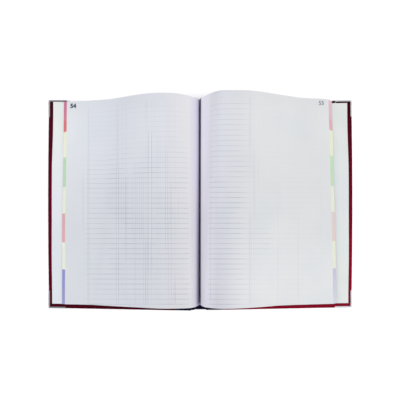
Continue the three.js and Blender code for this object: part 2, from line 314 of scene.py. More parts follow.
def page_material(side):
    m, nt, b = material("ruled_page_" + STACKS[side]["pre"], rough=0.72)
    n = Nodes(nt)
    uv = n.coord("UV")
    s, y, _ = n.xyz(uv)  # metres from the fold, and up the page
    cloud = n.noise(uv, 14.0, 3.0, 0.55)
    fibre = n.noise(n.scale(uv, (1, 1, 1)), 900.0, 2.0, 0.6)
    across_page = n.math("DIVIDE", s, 0.205)
    # the paper's tone across the page, with the painted gutter shadow, painted light and painted shading in it
    base = n.ramp(across_page, [(at / 205.0, tone(srgb(*c), PAGE_TONE * gain)) for at, c, gain in PAGE_TONES_AND_SHADE[side]])
    down = n.math("DIVIDE", n.math("SUBTRACT", 0.150, y), 0.297)
    # painted shading down the page, near the fold and away from it
    near = n.ramp(down, [((150.0 - at) / 297.0, (g / 1.1,) * 3) for at, g, _ in PAGE_SHADE_FALL[side]], "B_SPLINE")
    far = n.ramp(down, [((150.0 - at) / 297.0, (g / 1.1,) * 3) for at, _, g in PAGE_SHADE_FALL[side]], "B_SPLINE")
    shade_fall = n.mix(n.range(s, 0.030, 0.075, 0.0, 1.0, "SMOOTHSTEP"), near, far)
    base = n.mix(1.0, base, shade_fall, "MULTIPLY")
    if side < 0:  # painted shade in the gutter, darker towards the tail
        gutter_shade = n.math("MULTIPLY", n.range(y, 0.060, -0.070), n.range(s, 0.0125, 0.0040, 0.0, 0.42, "SMOOTHSTEP"))
        base = n.mix(gutter_shade, base, tone(srgb(96, 84, 116), PAGE_TONE / 1.1))
    base = n.mix(n.range(cloud, 0.3, 0.7, 0.0, 0.35), base, n.mix(1.0, base, srgb(236, 243, 246), "MULTIPLY"))
    base = n.mix(n.range(fibre, 0.35, 0.75, 0.0, 0.10), base, tone(srgb(190, 190, 198), PAGE_TONE / 1.1))
    # feint lines, a line every 7 mm
    line_gap = 0.007
    first = 0.1322
    k = n.math("DIVIDE", n.math("SUBTRACT", first, y), line_gap)
    off = n.math("ABSOLUTE", n.math("SUBTRACT", n.math("FRACT", n.math("ADD", k, 0.5)), 0.5))
    feint = n.range(off, 0.024, 0.042, 1.0, 0.0)
    inside = n.math("MULTIPLY", n.math("GREATER_THAN", k, -0.4), n.math("LESS_THAN", k, 39.4))
    # the lines start clear of the gutter and stop short of the fore-edge
    if side < 0:
        across = n.math("MULTIPLY", n.range(s, 0.0195, 0.0240), n.range(s, 0.1790, 0.1710))
        fade = n.range(s, 0.125, 0.150, 1.0, 0.70)
    else:
        across = n.math("MULTIPLY", n.range(s, 0.0225, 0.0270), n.range(s, 0.1960, 0.1930))
        low = n.math("MULTIPLY", n.range(y, -0.030, -0.040), n.range(y, -0.078, -0.066))
        reach = n.math("MULTIPLY", low, n.range(s, 0.112, 0.122, 0.55, 0.0))
        fade = n.math("MAXIMUM", n.range(s, 0.066, 0.086, 1.0, 0.14), reach)
    paler = n.range(y, 0.092, 0.026, 0.24 if side < 0 else 0.55, 1.0, "SMOOTHSTEP")
    fade = n.math("MULTIPLY", fade, paler)
    patchy = n.noise(n.scale(uv, (26.0, 34.0, 1)), 1.0, 2.0, 0.55)
    broken = n.range(patchy, 0.36, 0.62, 0.45, 1.15)
    feint = n.math("MULTIPLY", n.math("MULTIPLY", feint, inside), n.math("MULTIPLY", across, fade))
    ink = tone(srgb(142, 144, 166), PAGE_TONE / 1.1)
    col = n.mix(n.math("MULTIPLY", n.math("MULTIPLY", feint, broken), 0.86, clamp=True), base, ink)
    # columns
    def rules(table, edge, rest):
        total = None
        for at, width, strength, top, low in table:
            d = n.math("ABSOLUTE", n.math("SUBTRACT", s, at * MM))
            one = n.math("MULTIPLY", n.range(d, width * edge * MM, width * (1.0 - edge) * MM, 1.0, 0.0), strength)
            clear = n.math("MULTIPLY", n.range(y, (top + 9) * MM, (top - 7) * MM), n.range(y, (low - 9) * MM, (low + 7) * MM))
            one = n.math("MULTIPLY", one, n.math("MULTIPLY_ADD", clear, 1.0 - rest, rest))
            total = one if total is None else n.math("MAXIMUM", total, one)
        return total

    tall = n.math("MULTIPLY", n.math("LESS_THAN", y, 0.1405), n.math("GREATER_THAN", y, -0.1400))
    patchy2 = n.noise(n.scale(uv, (30.0, 20.0, 1)), 1.0, 2.0, 0.55)
    vary = n.math("MULTIPLY", n.range(patchy2, 0.36, 0.62, 0.7, 1.2), tall)
    light = n.math("MULTIPLY", rules(LEFT_GAPS if side < 0 else RIGHT_GAPS, 0.15, 0.0), vary)
    col = n.mix(n.math("MULTIPLY", light, 0.75, clamp=True), col, n.mix(1.0, base, (1.13,) * 3, "MULTIPLY"))
    total = n.math("MULTIPLY", rules(LEFT_COLUMNS if side < 0 else RIGHT_COLUMNS, 0.35, 0.24), vary)
    col = n.mix(n.math("MULTIPLY", total, 0.95, clamp=True), col, ink)
    nt.links.new(n.mix(1.0, col, (1.1,) * 3, "MULTIPLY"), b.inputs["Base Color"])
    paper_bump(n, uv, b)
    return m


def leaf_edge_material(side):
    """head and tail ends of the stack: the cut edges of the leaves"""
    m, nt, b = material("leaf_ends_" + STACKS[side]["pre"], rough=0.8)
    n = Nodes(nt)
    uv = n.coord("UV")
    s, d, _ = n.xyz(uv)  # along the leaf, and down through the stack
    lines = n.noise(n.scale(uv, (6.0, 5200.0, 1)), 1.0, 3.0, 0.75)
    broad = n.noise(n.scale(uv, (10.0, 900.0, 1)), 1.0, 2.0, 0.5)
    col = n.ramp(lines, [(0.30, srgb(150, 150, 158)), (0.48, srgb(214, 214, 220)), (0.7, srgb(236, 236, 238))])
    col = n.mix(n.range(broad, 0.35, 0.65, 0.0, 0.4), col, srgb(186, 186, 196))
    nt.links.new(n.mix(1.0, col, (0.86,) * 3, "MULTIPLY"), b.inputs["Base Color"])
    n.bump(n.math("MULTIPLY", lines, 0.0002), 0.7, 1.0, b)
    return m


def fore_edge_material(side):
    """the fanned fore-edge with its printed colour index"""
    m, nt, b = material("index_edge_" + STACKS[side]["pre"], rough=0.75)
    n = Nodes(nt)
    uv = n.coord("UV")
    s, y, _ = n.xyz(uv)
    f = n.math("DIVIDE", n.math("SUBTRACT", 0.150, y), 0.300)
    bands = BANDS_L if side < 0 else BANDS_R
    col = n.ramp(f, [((150.0 - at) / 300.0, srgb(*c)) for at, c in bands])
    streak = n.noise(n.scale(uv, (9000.0, 22.0, 1)), 1.0, 3.0, 0.7)
    col = n.mix(n.range(streak, 0.35, 0.7, 0.0, 0.22), col, srgb(240, 240, 240))
    dirt = n.noise(n.scale(uv, (4000.0, 60.0, 1)), 1.0, 2.0, 0.6)
    col = n.mix(n.range(dirt, 0.55, 0.8, 0.0, 0.2), col, srgb(150, 140, 150))
    nt.links.new(n.mix(1.0, col, (0.84 if side < 0 else 0.72,) * 3, "MULTIPLY"), b.inputs["Base Color"])
    n.bump(n.math("MULTIPLY", streak, 0.00015), 0.6, 1.0, b)
    return m


def under_page_material():
    m, nt, b = material("page_underside", rough=0.75)
    n = Nodes(nt)
    uv = n.coord("UV")
    cloud = n.noise(uv, 12.0, 2.0, 0.5)
    fibre = n.noise(uv, 1100.0, 2.0, 0.6)
    col = n.mix(n.range(cloud, 0.3, 0.7, 0.0, 0.5), srgb(222, 222, 226), srgb(212, 213, 222))
    col = n.mix(n.range(fibre, 0.4, 0.75, 0.0, 0.15), col, srgb(188, 188, 196))
    nt.links.new(n.mix(1.0, col, (0.84,) * 3, "MULTIPLY"), b.inputs["Base Color"])
    paper_bump(n, uv, b)
    return m


def paint_shade_along_height(n, vec, col, shade_fall):
    """paints shade into a colour along the height of the cover, deepening or lifting it; the table gives y in mm and a
    factor per channel
    """
    _, y, _ = n.xyz(vec)
    f = n.math("DIVIDE", n.math("SUBTRACT", 0.160, y), 0.320)
    ramp = n.ramp(f, [((160.0 - at) / 320.0, tuple(c / 1.2 for c in k)) for at, k in shade_fall])
    return n.mix(1.0, n.mix(1.0, col, ramp, "MULTIPLY"), (1.2,) * 3, "MULTIPLY")


def board_depth(n, vec):
    """height above the plane of the cover's hinge, square to the board, in metres"""
    x, _, z = n.xyz(vec)
    out = n.math("MULTIPLY", n.math("SUBTRACT", n.math("ABSOLUTE", x), HINGE_X * MM), float(SN))
    up = n.math("MULTIPLY", n.math("SUBTRACT", z, HINGE_Z * MM), float(CS))
    return n.math("ADD", out, up)


# painted shade along the height of each cover's turned-in band, y in mm and a factor per channel: the front darker
# towards head and tail, the back very dark at the head and lifted towards the tail
CLOTH_SHADE_FALL = {
    -1: [(155.0, (0.32,) * 3), (140.0, (0.50,) * 3), (109.0, (0.60,) * 3), (60.0, (0.74,) * 3), (6.0, (0.90,) * 3), (-84.0, (0.80,) * 3), (-140.0, (0.60,) * 3), (-150.0, (0.46,) * 3)],
    1: [(155.0, (0.14,) * 3), (140.0, (0.24,) * 3), (109.0, (0.34, 0.4, 0.6)), (60.0, (0.48, 0.6, 0.6)), (6.0, (0.66, 0.9, 0.7)), (-84.0, (1.12, 1.2, 1.2)), (-150.0, (1.05, 1.2, 1.15))],
}
RED_OUTSIDE = (srgb(108, 4, 30), srgb(66, 0, 16))
# painted shade along the height of each pastedown and free endpaper, y in mm and a factor per channel
LINING_SHADE_FALL = {
    -1: [(155.0, (1.08, 1.08, 1.0)), (109.0, (1.08, 1.08, 1.0)), (6.0, (1.04, 1.02, 1.02)), (-84.0, (0.95, 0.965, 0.965)), (-155.0, (0.95, 0.965, 0.965))],
    1: [(155.0, (1.06, 1.08, 1.03)), (109.0, (1.06, 1.08, 1.03)), (6.0, (1.03, 1.04, 1.05)), (-84.0, (1.07, 1.09, 1.05)), (-155.0, (1.07, 1.09, 1.05))],
}


def cloth_material(name, thread, gap, sheen, sheen_tint, coords, warp=0.00078, weft=0.00062, outside=None, shade_fall=None):
    """plain-woven, starched book cloth; threads lie along x and y"""
    m, nt, b = material(name, rough=0.62)
    n = Nodes(nt)
    vec = n.coord(coords)
    x, y, z = n.xyz(vec)
    wob = n.math("MULTIPLY", n.math("SUBTRACT", n.noise(vec, 160.0, 2.0, 0.5), 0.5), 0.0005)
    px = n.math("MULTIPLY", n.math("ADD", x, wob), 2 * math.pi / warp)
    py = n.math("MULTIPLY", n.math("ADD", y, wob), 2 * math.pi / weft)
    sx = n.math("SINE", px)
    sy = n.math("SINE", py)
    over = n.math("MULTIPLY", sx, sy)  # over and under, in a chequer
    crest = n.math("MULTIPLY", n.math("ABSOLUTE", sx), n.math("ABSOLUTE", sy))
    height = n.math("ADD", n.math("MULTIPLY", crest, 0.75), n.math("MULTIPLY", over, 0.25))
    slub = n.noise(n.scale(vec, (60.0, 1500.0, 900.0)), 1.0, 2.0, 0.6)
    slub2 = n.noise(n.scale(vec, (1500.0, 60.0, 900.0)), 1.0, 2.0, 0.6)
    slubs = n.math("MULTIPLY", n.math("ADD", slub, slub2), 0.5)
    cloud = n.noise(vec, 9.0, 3.0, 0.6)

    def weave(thread, gap):
        c = n.mix(n.range(height, -0.1, 0.75, 0.0, 1.0), gap, thread)
        c = n.mix(n.range(slubs, 0.38, 0.66, 0.0, 0.45), c, n.mix(1.0, thread, (1.7, 1.6, 1.6), "MULTIPLY"))
        return n.mix(n.range(cloud, 0.3, 0.7, 0.0, 0.35), c, n.mix(1.0, thread, (0.62, 0.6, 0.62), "MULTIPLY"))

    col = weave(thread, gap)
    if shade_fall:
        col = paint_shade_along_height(n, vec, col, shade_fall)
    if outside:  # both covers are of one cloth; the turned-in band carries painted shade, which differs between the two covers and along their height, and the outside keeps the plain outside colours
        col = n.mix(n.range(board_depth(n, vec), 0.0003, 0.0015, 1.0, 0.0), col, weave(*outside))
    nt.links.new(col, b.inputs["Base Color"])
    nt.links.new(n.range(slubs, 0.35, 0.65, 0.52, 0.74), b.inputs["Roughness"])
    b.inputs["Specular IOR Level"].default_value = 0.04
    b.inputs["Sheen Weight"].default_value = sheen
    b.inputs["Sheen Roughness"].default_value = 0.45
    b.inputs["Sheen Tint"].default_value = (*sheen_tint, 1)
    h = n.math("ADD", n.math("MULTIPLY", height, 0.00006), n.math("MULTIPLY", slubs, 0.00005))
    n.bump(h, 0.55, 1.0, b)
    return m


def nickel_material(name, reflection_gain, dull):
    m, nt, b = material(name, base=(0.8, 0.8, 0.82), rough=0.25, metallic=1.0)
    n = Nodes(nt)
    vec = n.coord("Object")
    soft = n.noise(vec, 120.0, 3.0, 0.55)
    scratch = n.noise(n.scale(vec, (90.0, 2600.0, 900.0)), 1.0, 2.0, 0.6)
    scratch2 = n.noise(n.scale(vec, (2600.0, 110.0, 900.0)), 1.0, 2.0, 0.6)
    marks = n.math("MAXIMUM", n.range(scratch, 0.58, 0.72), n.range(scratch2, 0.6, 0.74))
    # painted reflection: the flange's colour is scaled for each corner
    col = n.mix(n.range(soft, 0.35, 0.7, 0.0, 0.5), tuple(c * reflection_gain for c in (0.60, 0.60, 0.62)), tuple(c * reflection_gain for c in (0.48, 0.47, 0.49)))
    # the walls and the plate outside are darker than the pressed flange, with painted reflection in bands across the
    # rounded walls and a painted sheen in bands across the plate to its free edge, and they are clouded at random
    depth = board_depth(n, vec)
    x, y, _ = n.xyz(vec)
    near = n.math("ADD", n.math("ABSOLUTE", x), n.math("ABSOLUTE", y))
    # painted sheen in bands across the plate, towards its free edge
    plate = n.ramp(n.range(near, 0.340, 0.371), [(0.0, (0.60, 0.60, 0.62)), (0.35, (0.36, 0.36, 0.38)), (0.7, (0.50, 0.50, 0.52)), (1.0, (0.30, 0.30, 0.32))])
    # painted reflection in bands across the rounded walls
    wall = n.ramp(n.range(depth, -0.0013, 0.0019), [(0.0, (0.26, 0.26, 0.28)), (0.3, (0.52, 0.52, 0.54)), (0.6, (0.34, 0.34, 0.36)), (1.0, (0.56, 0.56, 0.58))])
    outer = n.mix(n.range(depth, -0.0010, -0.0006), plate, wall)
    outer = n.mix(n.range(soft, 0.35, 0.7, 0.0, 0.35), outer, n.mix(1.0, outer, (0.7, 0.7, 0.7), "MULTIPLY"))
    col = n.mix(n.range(depth, 0.0016, 0.0019, 1.0, 0.0), col, outer)
    nt.links.new(col, b.inputs["Base Color"])
    nt.links.new(n.math("ADD", n.range(soft, 0.3, 0.7, 0.16 + dull, 0.30 + dull), n.math("MULTIPLY", marks, 0.14)), b.inputs["Roughness"])
    h = n.math("ADD", n.math("MULTIPLY", soft, 0.00012), n.math("MULTIPLY", marks, -0.00001))
    n.bump(h, 0.5, 1.0, b)
    return m


def board_material():
    m, nt, b = material("grey_board", rough=0.92)
    n = Nodes(nt)
    vec = n.coord("Object")
    plies = n.noise(n.scale(vec, (30.0, 30.0, 4200.0)), 1.0, 2.0, 0.6)
    flecks = n.noise(vec, 1400.0, 3.0, 0.7)
    col = n.mix(plies, srgb(140, 132, 120), srgb(172, 164, 150))
    col = n.mix(n.range(flecks, 0.55, 0.72, 0.0, 0.6), col, srgb(104, 98, 92))
    nt.links.new(col, b.inputs["Base Color"])
    n.bump(n.math("MULTIPLY", flecks, 0.0001), 0.6, 1.0, b)
    return m


def endpaper_material(name="endpaper", tint=(229, 231, 234), coords="Object", shade_fall=None):
    m, nt, b = material(name, rough=0.68)
    n = Nodes(nt)
    vec = n.coord(coords)
    cloud = n.noise(vec, 22.0, 3.0, 0.55)
    fibre = n.noise(vec, 1300.0, 3.0, 0.6)
    col = n.mix(n.range(cloud, 0.3, 0.7, 0.0, 0.5), srgb(*tint), srgb(tint[0] - 10, tint[1] - 6, tint[2] - 6))
    col = n.mix(n.range(fibre, 0.4, 0.75, 0.0, 0.12), col, srgb(196, 196, 198))
    if shade_fall:
        col = paint_shade_along_height(n, vec, col, shade_fall)
    nt.links.new(n.mix(1.0, col, (0.80,) * 3, "MULTIPLY"), b.inputs["Base Color"])
    h = n.math("ADD", n.math("MULTIPLY", fibre, 0.00003), n.math("MULTIPLY", cloud, 0.0004))
    n.bump(h, 0.2, 1.0, b)
    return m


def mull_material():
    m, nt, b = material("mull_gauze", rough=0.95)
    n = Nodes(nt)
    x, y, z = n.xyz(n.coord("Object"))
    sx = n.math("ABSOLUTE", n.math("SINE", n.math("MULTIPLY", x, math.pi / 0.0011)))
    sy = n.math("ABSOLUTE", n.math("SINE", n.math("MULTIPLY", y, math.pi / 0.0011)))
    h = n.math("MAXIMUM", sx, sy)
    col = n.mix(n.range(h, 0.7, 0.98), srgb(150, 138, 110), srgb(222, 214, 192))
    nt.links.new(col, b.inputs["Base Color"])
    n.bump(n.math("MULTIPLY", h, 0.0002), 0.8, 1.0, b)
    return m


def thread_material():
    m, nt, b = material("linen_thread", rough=0.7)
    n = Nodes(nt)
    x, y, z = n.xyz(n.coord("Object"))
    twist = n.math("SINE", n.math("MULTIPLY", n.math("ADD", n.math("ADD", x, y), n.math("MULTIPLY", z, 2.0)), 2 * math.pi / 0.0009))
    nt.links.new(n.mix(n.range(twist, -1.0, 1.0), srgb(196, 186, 160), srgb(236, 230, 212)), b.inputs["Base Color"])
    n.bump(n.math("MULTIPLY", twist, 0.0001), 0.6, 1.0, b)
    return m


def band_material():
    m, nt, b = material("worked_band", rough=0.7)
    n = Nodes(nt)
    x, y, z = n.xyz(n.coord("Object"))
    st = n.math("SINE", n.math("MULTIPLY", x, 2 * math.pi / 0.0018))
    fine = n.math("SINE", n.math("MULTIPLY", n.math("ADD", x, n.math("MULTIPLY", y, 0.3)), 2 * math.pi / 0.00045))
    col = n.mix(n.range(st, -0.12, 0.12), srgb(28, 32, 78), srgb(226, 224, 216))
    col = n.mix(n.range(fine, -1.0, 0.2, 0.35, 0.0), col, srgb(20, 20, 40))
    nt.links.new(col, b.inputs["Base Color"])
    n.bump(n.math("MULTIPLY", fine, 0.00008), 0.7, 1.0, b)
    return m


def fold_material():
    m, nt, b = material("section_backs", rough=0.8)
    n = Nodes(nt)
    x, y, z = n.xyz(n.coord("Object"))
    f = n.math("ABSOLUTE", n.math("SINE", n.math("MULTIPLY", x, math.pi / 0.00115)))
    speck = n.noise(n.coord("Object"), 700.0, 2.0, 0.6)
    col = n.mix(n.range(f, 0.0, 0.5), srgb(120, 116, 116), srgb(218, 217, 216))
    col = n.mix(n.range(speck, 0.45, 0.7, 0.0, 0.3), col, srgb(176, 160, 128))
    nt.links.new(col, b.inputs["Base Color"])
    n.bump(n.math("MULTIPLY", f, 0.0003), 0.8, 1.0, b)
    return m


def ink_material(name, rgb):
    m, nt, b = material(name, rough=0.6)
    n = Nodes(nt)
    speck = n.noise(n.coord("Object"), 2400.0, 2.0, 0.6)
    col = n.mix(n.range(speck, 0.45, 0.75, 0.0, 0.35), srgb(*rgb), srgb(*[min(255, c + 60) for c in rgb]))
    nt.links.new(col, b.inputs["Base Color"])
    n.bump(n.math("MULTIPLY", speck, 0.00002), 0.3, 1.0, b)
    return m


M = {
    "page": {1: page_material(1), -1: page_material(-1)},
    "ends": {1: leaf_edge_material(1), -1: leaf_edge_material(-1)},
    "fore": {1: fore_edge_material(1), -1: fore_edge_material(-1)},
    "under": under_page_material(),
    "maroon": {
        # one cloth on both covers, as two copies with painted shade: the front copy darker, the back copy brighter
        -1: cloth_material("red_cloth_front", srgb(94, 0, 31), srgb(58, 0, 17), 0.0, srgb(190, 40, 90), "Object", outside=RED_OUTSIDE, shade_fall=CLOTH_SHADE_FALL[-1]),
        1: cloth_material("red_cloth_back", srgb(118, 6, 30), srgb(72, 0, 16), 0.0, srgb(220, 60, 90), "Object", outside=RED_OUTSIDE, shade_fall=CLOTH_SHADE_FALL[1]),
    },
    "navy": cloth_material("navy_cloth", srgb(9, 9, 34), srgb(2, 2, 10), 0.0, srgb(70, 80, 140), "Object"),
    "navy_uv": cloth_material("navy_cloth_joint", srgb(9, 9, 34), srgb(2, 2, 10), 0.0, srgb(70, 80, 140), "UV"),
    "nickel": {  # the four corners are copies with painted reflection, the back ones brighter
        (-1, 1): nickel_material("nickel_front_head", 1.25, 0.0),
        (-1, -1): nickel_material("nickel_front_tail", 1.15, 0.0),
        (1, 1): nickel_material("nickel_back_head", 1.50, 0.06),
        (1, -1): nickel_material("nickel_back_tail", 1.58, 0.10),
    },
    "board": board_material(),
    "endpaper": endpaper_material(),
    # the endpapers are one paper, as two copies with painted shade: the back copy greyer and darker
    "lining": {-1: endpaper_material("endpaper_front", (221, 225, 231), shade_fall=LINING_SHADE_FALL[-1]), 1: endpaper_material("endpaper_back", (210, 212, 214), shade_fall=LINING_SHADE_FALL[1])},
    "hinge_paper": endpaper_material("endpaper_joint", coords="UV"),
    "mull": mull_material(),
    "thread": thread_material(),
    "band": band_material(),
    "folds": fold_material(),
}


# ------------------------------------------------------------------ the leaves
def rot4(axis, pt, ang):
    a = np.array(axis, float)
    a /= np.linalg.norm(a)
    c, s = math.cos(ang), math.sin(ang)
    K = np.array([[0, -a[2], a[1]], [a[2], 0, -a[0]], [-a[1], a[0], 0]])
    R = np.eye(3) + s * K + (1 - c) * K @ K
    m = np.eye(4)
    m[:3, :3] = R
    m[:3, 3] = np.array(pt, float) - R @ np.array(pt, float)
    return m


def sheet_frames(st):
    m = np.eye(4)
    m[:3, 3] = (st["side"] * st["gx"], 0, FOLD_Z)
    m = m @ rot4((0, -1, 0), (0, 0, 0), math.radians(st["start"]))
    out = [m]
    for h, t, d in st["bends"]:
        out.append(out[-1] @ rot4((-(h - t), -(PAGE_HEAD - PAGE_TAIL), 0), (t, PAGE_TAIL, 0), math.radians(d)))
    return out


ROUND = (6.0, 10.0, 16.0, 22.0, 24.0)  # how far each bend is eased, mm
TIGHT = (6.0, 10.0, 16.0, 22.0, 10.0)  # the hollow last bend is tighter in shape than in shading, so that the book shuts flat
HOLLOW_DROP = 0.64  # and the top leaf lies this much lower along it

# the fore-edge isn't cut quite square: distance up the page in mm, how far it stands out
EDGE_RUN = {
    -1: ([-147.0, -100.0, -60.0, -18.0, 20.0, 60.0, 117.0, 150.0], [0.0, 0.0, 0.2, 0.4, -0.5, -0.9, -1.35, -1.6]),
    1: ([-147.0, 0.0, 20.0, 60.0, 95.0, 117.0, 150.0], [0.6, 0.6, 0.3, 0.4, 0.4, 0.0, 0.0]),
}


# nor is the head edge quite straight: distance from the fold, how far it is drawn in
HEAD_TRIM = {
    -1: ([137.0, 146.0, 155.0, 163.5, 172.6, 178.5, 190.4, 205.0], [0.0, 0.14, 0.5, 0.94, 1.37, 1.44, 1.55, 1.66]),
    1: ([145.0, 152.0, 160.0, 168.8, 177.5, 186.0, 192.0, 198.0, 201.0, 205.0], [0.0, -0.3, -0.45, -0.1, 0.4, 0.5, 0.56, 0.75, 1.15, 1.7]),
}


def smooth01(t):
    t = np.clip(t, 0.0, 1.0)
    return t * t * (3 - 2 * t)


def tail_trim(side, s, y):
    """the tail edge of the right-hand leaves is drawn up where they plunge to the fold"""
    if side < 0:
        return 0.0
    return 2.0 * float(1.0 - smooth01((s - 14.0) / 30.0)) * max(0.0, 1.0 - (y - PAGE_TAIL) / 24.0)


def print_coords(side, P, S, Y):
    """Where the ruling is printed. Its lines lie straight across the opening as one looks down on it,
    so they run very slightly bowed on the sheet itself."""
    k = 0.6784 * 396.7 / (400.0 - P[..., 2])
    u, v = k * P[..., 0], k * (P[..., 1] + 25.0)
    row = int(np.argmin(np.abs(v[:, P.shape[1] // 2] - 15.5)))
    use = S[row] > 18.0
    su = np.interp(np.abs(u), np.abs(u[row][use]), S[row][use])
    w = smooth01((S - 24.0) / 14.0)
    s2 = S + (su - S) * w
    col = int(np.argmin(np.abs(S[row] - 60.0)))
    yv = np.interp(v, v[:, col], Y[:, col], left=np.nan, right=np.nan)
    ext = Y[:, col][0] + (v - v[0, col]) / (v[1, col] - v[0, col]) * (Y[1, col] - Y[0, col])
    top = Y[-1, col] + (v - v[-1, col]) / (v[-1, col] - v[-2, col]) * (Y[-1, col] - Y[-2, col])
    yv = np.where(np.isnan(yv), np.where(v < v[0, col], ext, top), yv)
    w = smooth01((S - 10.0) / 24.0) * smooth01((60.0 - v) / 40.0)
    return s2, Y + (yv - Y) * w


def stack_surface(side, ny=72):
    """The top of a stack: points, normals and distance from the fold over a grid, with the columns of the seams.
    Each bend of the folded sheet is eased into a curve."""
    st = dict(STACKS[side], side=side)
    Ms = sheet_frames(st)
    lines = [(0.3, 0.3)] + [(h, t) for h, t, _ in st["bends"]] + [(PAGE_WIDTH, PAGE_WIDTH)]
    ys = np.linspace(PAGE_TAIL, PAGE_HEAD, ny)
    seams = []
    nseg = len(lines) - 1
    rows_P, rows_Q, rows_S, rows_D = [], [], [], []
    for y in ys:
        k = (y - PAGE_TAIL) / (PAGE_HEAD - PAGE_TAIL)
        sk = [t + (h - t) * k for h, t in lines]
        sk[-1] += float(np.interp(y, *EDGE_RUN[side]))
        arm = [0.0]
        for i in range(1, nseg):
            a = ROUND[i - 1]
            arm.append((min(a, 0.48 * (sk[i] - sk[i - 1])), min(a, 0.48 * (sk[i + 1] - sk[i]))))
        P, Q, S, marks = [], [], [], []

        def pt(i, s):
            up = tail_trim(side, s, y) - float(np.interp(s, *HEAD_TRIM[side])) * max(0.0, (y - 118.0) / 32.0)
            return (Ms[i] @ np.array((s, y + up, 0, 1.0)))[:3]

        for i in range(nseg):
            a0 = sk[i] + (arm[i][1] if i > 0 else 0)
            a1 = sk[i + 1] - (arm[i + 1][0] if i + 1 < nseg else 0)
            mid = (sk[i] + sk[i + 1]) / 2
            if i == 0:
                xs = list(np.linspace(a0, a1, 6))
            elif i == nseg - 1:
                xs = list(np.linspace(a0, mid, 6)) + list(np.linspace(mid, a1, 8))[1:]
            else:
                xs = list(np.linspace(a0, mid, 5)) + list(np.linspace(mid, a1, 5))[1:]
            if i > 0:
                xs = xs[1:]
            for q, s in enumerate(xs):
                if 0 < i < nseg - 1 and abs(s - mid) < 1e-9:
                    marks.append(len(S))
                P.append(pt(i, s))
                Q.append(P[-1])
                S.append(s)
            if i + 1 < nseg:
                b0, b1 = arm[i + 1]
                g0, g1 = min(b0, TIGHT[i]), min(b1, TIGHT[i])

                def eased(h0, h1, s):
                    if s <= sk[i + 1] - h0:
                        return pt(i, s)
                    if s >= sk[i + 1] + h1:
                        return pt(i + 1, s)
                    p0, pc, p1 = pt(i, sk[i + 1] - h0), pt(i, sk[i + 1]), pt(i + 1, sk[i + 1] + h1)
                    t = (s - sk[i + 1] + h0) / (h0 + h1)
                    return (1 - t) ** 2 * p0 + 2 * t * (1 - t) * pc + t * t * p1

                steps = np.linspace(0, 1, 15)
                if TIGHT[i] < ROUND[i]:  # closer together at the middle of the bend
                    steps = 0.5 + 0.5 * np.sign(steps - 0.5) * np.abs(2 * steps - 1) ** 1.3
                for t in steps[1:]:
                    s = sk[i + 1] - b0 + (b0 + b1) * t
                    P.append(eased(g0, g1, s))
                    Q.append(eased(b0, b1, s))
                    S.append(s)
        rows_P.append(P)
        rows_Q.append(Q)
        rows_S.append(S)
        rows_D.append([HOLLOW_DROP * math.cos(min(1.0, abs(s - sk[nseg - 1]) / 20.0) * math.pi / 2) ** 2 for s in S])
        seams = marks
    P = np.array(rows_P)
    Q = np.array(rows_Q)
    S = np.array(rows_S)
    D = np.array(rows_D)
    # normals from the grid
    dS = np.gradient(Q, axis=1)
    dY = np.gradient(Q, axis=0)
    N = np.cross(dS, dY)
    N /= np.linalg.norm(N, axis=2, keepdims=True)
    Y = np.repeat(ys[:, None], P.shape[1], 1)
    P = P.copy()
    # where the hollow bend is tighter the head and tail edges bulge by less than a millimetre and so look evenly curved
    bulge = (Q[..., 1] + 25.0) * (400.0 - P[..., 2] + D) / (400.0 - Q[..., 2]) - 25.0 - P[..., 1]
    P[..., 1] += bulge * (smooth01((ys - 112.0) / 36.0) + smooth01((-109.0 - ys) / 36.0))[:, None]
    if side < 0:
        P[..., 0] *= -1
        N[..., 0] *= -1
    return st, P, N, S, Y, seams, D


